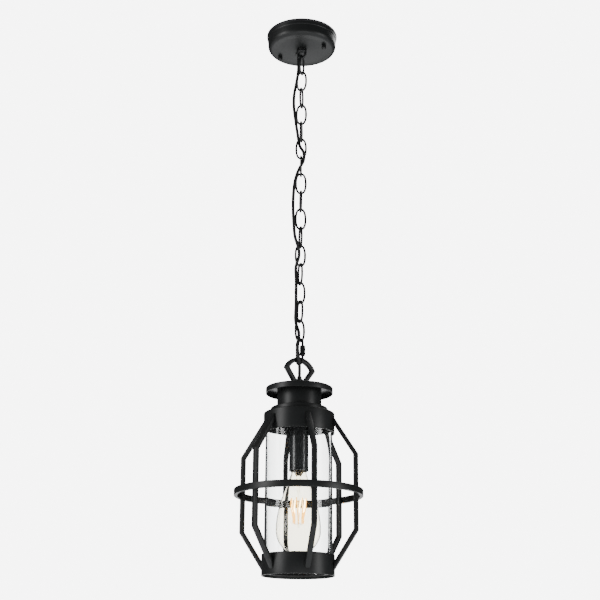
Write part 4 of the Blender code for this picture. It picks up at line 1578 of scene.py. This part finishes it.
@dataclass
class Cage:
    """The two bands, the ring and the six bent bars."""

    trees: Trees
    band_wall: float = 2.0 * MM
    band_edge: float = 0.6 * MM
    ring_thickness: float = 6.0 * MM
    ring_edge: float = 0.8 * MM
    bar_count: int = 6
    first_yaw: float = 72.0
    bar_width: float = 8.2 * MM
    bar_depth: float = 7.0 * MM
    bar_bend: float = 60.7 * MM
    bar_edge: float = 0.9 * MM
    bend_radius: float = 3.0 * MM
    gap: float = 0.3 * MM
    bead_from_edge: float = 9.0 * MM

    def bands(self) -> None:
        """The upper band with its top web, and the open lower band."""
        box = NodeBox.of("upper_collar")
        radius, top, bottom, wall = box.radius, box.top, box.bottom, self.band_wall
        outline = [
            (STEM_HOLE, top, 0.1 * MM),
            (radius, top, 1.4 * MM),
            (radius, bottom, 0.6 * MM),
            (radius - wall, bottom, 0.5 * MM),
            (radius - wall, top - wall, 0.4 * MM),
            (STEM_HOLE, top - wall, 0.1 * MM),
        ]
        upper = turned_piece("upper_band", outline, 5, 160, SATIN_BLACK)
        fit(upper, Body.LANTERN, Slot.COAT, "upper_collar")
        for name, node, thickness, edge in (
            ("lower_band", "lower_collar", wall, self.band_edge),
            ("cage_ring", "middle_ring", self.ring_thickness, self.ring_edge),
        ):
            self.trees.lantern_hoop(name, node, thickness, edge, SATIN_BLACK, Slot.COAT)

    def bar_outline(self, reach: float, seat: float, outer: float) -> Profile:
        """One bar's side view, with small bend radii.

        Args:
            reach: the height of its outer ends from the middle.
            seat: the radius at which it meets the bands.
            outer: the radius of its upright face.

        Returns:
            The outline, radius across and height up.
        """
        slope = (outer - seat) / (reach - self.bar_bend)
        turn = math.atan(slope)
        inner = outer - self.bar_depth
        inner_bend = self.bar_bend - self.bar_depth * math.tan(turn / 2)
        inner_reach = inner_bend + (inner - seat) / slope
        bend, end = self.bend_radius, 0.3 * MM
        corners = [
            (seat, reach, end),
            (outer, self.bar_bend, bend),
            (outer, -self.bar_bend, bend),
            (seat, -reach, end),
            (seat, -inner_reach, end),
            (inner, -inner_bend, bend / 2),
            (inner, inner_bend, bend / 2),
            (seat, inner_reach, end),
        ]
        return rounded(corners, 4)

    def bars(self) -> None:
        """Presses one bar and sets six copies of it round the axis."""
        box = NodeBox.of("cage_bar_1")
        ring = NodeBox.of("middle_ring")
        band = NodeBox.of("upper_collar")
        outer = ring.radius - self.ring_thickness - self.gap
        outline = self.bar_outline(box.height / 2, band.radius + self.gap, outer)
        plane = standing(0.0, box.middle.z)
        bar = pressed("bar", outline, None, self.bar_width, self.bar_edge, plane)
        yaw = math.radians(self.first_yaw)
        bars = self.trees.copies("cage_bars", bar, self.bar_count, yaw, SATIN_BLACK, sharp=38.0)
        nodes = [f"cage_bar_{i}" for i in range(1, self.bar_count + 1)]
        fit(bars, Body.LANTERN, Slot.COAT, *nodes)

    def beads(self) -> None:
        """The small weld beads where each bar meets the ring and the bands."""
        ring = NodeBox.of("middle_ring")
        inner = ring.radius - self.ring_thickness
        half = self.bar_width / 2
        at_ring = (0.7 * MM, half * 0.86, 0.6 * MM)
        at_band = (0.6 * MM, half * 0.8, 0.9 * MM)
        spots = [
            (inner - 0.1 * MM, ring.middle.z + side * ring.height * 0.47, at_ring)
            for side in (-1, 1)
        ]
        for node, side in (("lower_collar", -1), ("upper_collar", 1)):
            box = NodeBox.of(node)
            z = box.middle.z + side * (box.height * 0.5 - self.bead_from_edge)
            spots.append((box.radius + 0.1 * MM, z, at_band))
        build = bmesh.new()
        for radius, z, size in spots:
            bmesh.ops.create_uvsphere(
                build,
                u_segments=20,
                v_segments=10,
                radius=1.0,
                matrix=Matrix.Translation((radius, 0.0, z)) @ Matrix.Diagonal((*size, 1.0)),
            )
        bead = bpy.data.meshes.new("bead")
        build.to_mesh(bead)
        build.free()
        yaw = math.radians(self.first_yaw)
        beads = self.trees.copies("weld_beads", bead, self.bar_count, yaw, SATIN_BLACK)
        fit(beads, Body.LANTERN, Slot.COAT)

    def build(self) -> None:
        """Makes the whole cage."""
        self.bands()
        self.bars()
        self.beads()


@dataclass
class Glazing:
    """The glass cylinder and the ring that it stands on."""

    trees: Trees
    wall: float = 3.0 * MM
    fire_polish: float = 1.3 * MM
    ring_wall: float = 9.0 * MM
    ring_edge: float = 0.4 * MM

    def build(self) -> None:
        """Makes the glass and its ring."""
        hoop = self.trees.lantern_hoop
        hoop("glass_tube", "glass_cylinder", self.wall, self.fire_polish, CLEAR, Slot.GLASS)
        ring = (self.ring_wall, self.ring_edge, SATIN_BLACK, Slot.COAT)
        hoop("rest_ring", "glass_rest_ring", *ring)


@dataclass
class Lampholder:
    """The black sleeve on the stem that the lamp screws into."""

    wall: float = 1.2 * MM

    def build(self) -> None:
        """Makes the sleeve, with a rolled lower edge and a rounded top."""
        box = NodeBox.of("socket_cover")
        radius, top, bottom, wall = box.radius, box.top, box.bottom, self.wall
        outline = [
            (STEM_HOLE, top, 0.1 * MM),
            (radius - 0.3 * MM, top, 3.0 * MM),
            (radius - 0.3 * MM, bottom + 3.4 * MM, 0.5 * MM),
            (radius, bottom + 2.8 * MM, 0.4 * MM),
            (radius, bottom, 0.6 * MM),
            (radius - wall, bottom, 0.5 * MM),
            (radius - wall, top - wall, 2.0 * MM),
            (STEM_HOLE, top - wall, 0.1 * MM),
        ]
        sleeve = turned_piece("holder_sleeve", outline, 6, 96, HOLDER_BLACK)
        fit(sleeve, Body.LANTERN, Slot.COAT, "socket_cover")


@dataclass
class Lamp:
    """The lamp: threaded cap, clear envelope, glass stem and a cage of hot wire."""

    trees: Trees
    neck_radius: float = 12.2 * MM
    wall: float = 0.8 * MM
    thread_pitch: float = 3.6 * MM
    thread_depth: float = 0.55 * MM
    thread_step: float = 0.35 * MM
    cap_shoulder: float = 4.8 * MM
    cap_crown: float = 5.0 * MM
    plain_skirt: float = 2.0 * MM
    round_end: float = 34.7 * MM
    overlap: float = 4.0 * MM
    strand_count: int = 8
    strand_radius: float = 1.0 * MM
    core_radius: float = 0.8 * MM
    hook_radius: float = 0.16 * MM
    first_yaw: float = 0.3

    def envelope(self) -> None:
        """The blown envelope, a closed skin with an inner and an outer face."""
        box = NodeBox.of("bulb_glass")
        widest = box.radius
        widest_z = box.bottom + self.round_end
        neck_end = NodeBox.of("socket_cover").bottom - self.overlap
        outer: Profile = [(self.neck_radius, box.top), (self.neck_radius, neck_end)]
        for i in range(1, 30):
            t = i / 30
            ease = math.sin(math.pi / 2 * t**0.95) ** 1.15
            radius = self.neck_radius + (widest - self.neck_radius) * ease
            outer.append((radius, neck_end + (widest_z - neck_end) * t))
        for i in range(24):
            angle = math.pi / 2 * i / 24
            outer.append((widest * math.cos(angle), widest_z - self.round_end * math.sin(angle)))
        inner = [(max(r - self.wall, 0.0), max(z, box.bottom + self.wall)) for r, z in outer]
        outline = [*outer, (0.0, box.bottom), (0.0, box.bottom + self.wall), *reversed(inner)]
        piece = add_piece("envelope", turned("envelope", outline, 96), LAMP_GLASS, SOFT_SHARP)
        fit(piece, Body.BULB, Slot.GLASS, "bulb_glass")

    def cap(self) -> None:
        """The nickel cap with its rolled thread and its centre contact."""
        box = NodeBox.of("bulb_cap")
        radius = box.radius - 0.25 * MM
        shoulder = box.top - self.cap_shoulder

        def thread(reach: float, height: float, angle: float) -> float:
            """The rolled thread's wave along the cap's wall.

            Args:
                reach: the point's radius.
                height: its height.
                angle: its angle.

            Returns:
                What to add to the radius.
            """
            if reach < radius - 1.5 * MM or not box.bottom + self.plain_skirt < height < shoulder:
                return 0.0
            turn = (height / self.thread_pitch + angle / (2 * math.pi)) * 2 * math.pi
            return self.thread_depth * (0.5 * math.sin(turn) - 0.5)

        inner = self.neck_radius + 0.3 * MM
        levels = (shoulder - i * self.thread_step for i in range(1, 200))
        side = [(radius, z) for z in levels if z > box.bottom + 0.5 * MM]
        outline = [
            (0.0, box.top),
            (3.6 * MM, box.top),
            (4.6 * MM, box.top - 0.6 * MM),
            (5.0 * MM, box.top - 1.4 * MM),
            (radius - 3.0 * MM, box.top - 2.6 * MM),
            (radius - 0.8 * MM, shoulder + 0.8 * MM),
            (radius, shoulder),
            *side,
            (radius, box.bottom),
            (inner, box.bottom),
            (inner, box.top - self.cap_crown),
            (0.0, box.top - self.cap_crown),
        ]
        piece = add_piece("cap_shell", turned("cap_shell", outline, 96, thread), NICKEL, SOFT_SHARP)
        fit(piece, Body.BULB, Slot.NICKEL, "bulb_cap")

    def mount(self) -> None:
        """The flared glass stem that carries the wires."""
        box = NodeBox.of("bulb_stem")
        flare = box.radius
        outline = [
            (0.0, box.top, 0.0),
            (flare, box.top, 0.2 * MM),
            (flare - 1.0 * MM, box.top - 4.0 * MM, 2.0 * MM),
            (4.0 * MM, box.top - 14.0 * MM, 4.0 * MM),
            (3.0 * MM, box.top - 34.0 * MM, 2.0 * MM),
            (1.3 * MM, box.top - 42.0 * MM, 3.0 * MM),
            (1.3 * MM, box.bottom + 2.0 * MM, 0.6 * MM),
            (2.0 * MM, box.bottom + 0.8 * MM, 0.8 * MM),
            (0.0, box.bottom, 0.0),
        ]
        piece = turned_piece("stem_glass", outline, 5, 40, LAMP_GLASS, sharp=SOFT_SHARP)
        fit(piece, Body.BULB, Slot.GLASS, "bulb_stem")

    def filament(self) -> None:
        """The hot strands, leaning in to a lower ring, and the hooks that hold them there."""
        box = NodeBox.of("filament_cage")
        high, low = box.top - 0.6 * MM, box.bottom + 0.6 * MM
        wide = box.radius - 0.8 * MM
        narrow = wide * 0.66
        strand = [
            Vector((wide, -1.2 * MM, high)),
            Vector((wide * 0.95, 0.2 * MM, high * 0.62 + low * 0.38)),
            Vector((narrow * 1.02, 0.9 * MM, high * 0.2 + low * 0.8)),
            Vector((narrow, 1.3 * MM, low)),
        ]
        start = swept("strand", strand, self.strand_radius, 8)
        spacing = (self.strand_count, self.first_yaw)
        strands = self.trees.copies("hot_strands", start, *spacing, GLOWING)
        fit(strands, Body.BULB, Slot.GLOW, "filament_cage")
        hook_path = [
            Vector((1.2 * MM, 0.0, low + 1.0 * MM)),
            Vector((narrow * 0.6, 0.0, low - 1.5 * MM)),
            Vector((narrow, 1.2 * MM, low - 0.3 * MM)),
        ]
        hook = swept("hook", hook_path, self.hook_radius, 6)
        hooks = self.trees.copies("wire_hooks", hook, *spacing, NICKEL)
        fit(hooks, Body.BULB, Slot.NICKEL)
        core = [point.copy() for point in strand[:3]]
        core[0].z -= 1.0 * MM
        core[2] = core[1].lerp(core[2], 0.35)
        for point in core:
            point.x -= 0.9 * MM
        hot = swept("core", core, self.core_radius, 8)
        cores = self.trees.copies("white_hot_cores", hot, *spacing, WHITE_HOT)
        fit(cores, Body.BULB, Slot.GLOW)

    def build(self) -> None:
        """Makes the whole lamp."""
        self.envelope()
        self.cap()
        self.mount()
        self.filament()


@dataclass
class Hardware:
    """The plain frame nodes that show as they are, each under its own finish."""

    def build(self) -> None:
        """Dresses every node that no finer piece stands for."""
        wanted = {
            ZINC: (
                "mounting_strap", "canopy_stud_1", "canopy_stud_2", "loop_stud", "strap_nut",
                "canopy_lock_nut", "stem_tube", "stem_nut",
            ),
            MOULDED_BLACK: ("cord_bushing",),
            WHITE: ("terminal_block",),
            SLEEVING: ("live_lead", "neutral_lead"),
            CERAMIC: ("socket_body",),
            BRASS: ("screw_shell", "centre_contact"),
            GASKET: ("glass_gasket",),
        }
        for finish, nodes in wanted.items():
            for node in nodes:
                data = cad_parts[node].data
                data.materials.clear()
                data.materials.append(finish.material())
                LOG.info("%s dressed in %s", node, finish.name)


def main() -> None:
    """Builds the studio and every sub-assembly."""
    logging.basicConfig(level=logging.INFO, format="%(name)s: %(message)s")
    Studio().build()
    SupplyCord().build()
    trees = Trees.build()
    for part in (
        Canopy(trees),
        Chain(trees),
        HangingLoop(),
        LanternTop(trees),
        Cage(trees),
        Glazing(trees),
        Lampholder(),
        Lamp(trees),
        Hardware(),
    ):
        part.build()


if __name__ == "__main__":
    main()
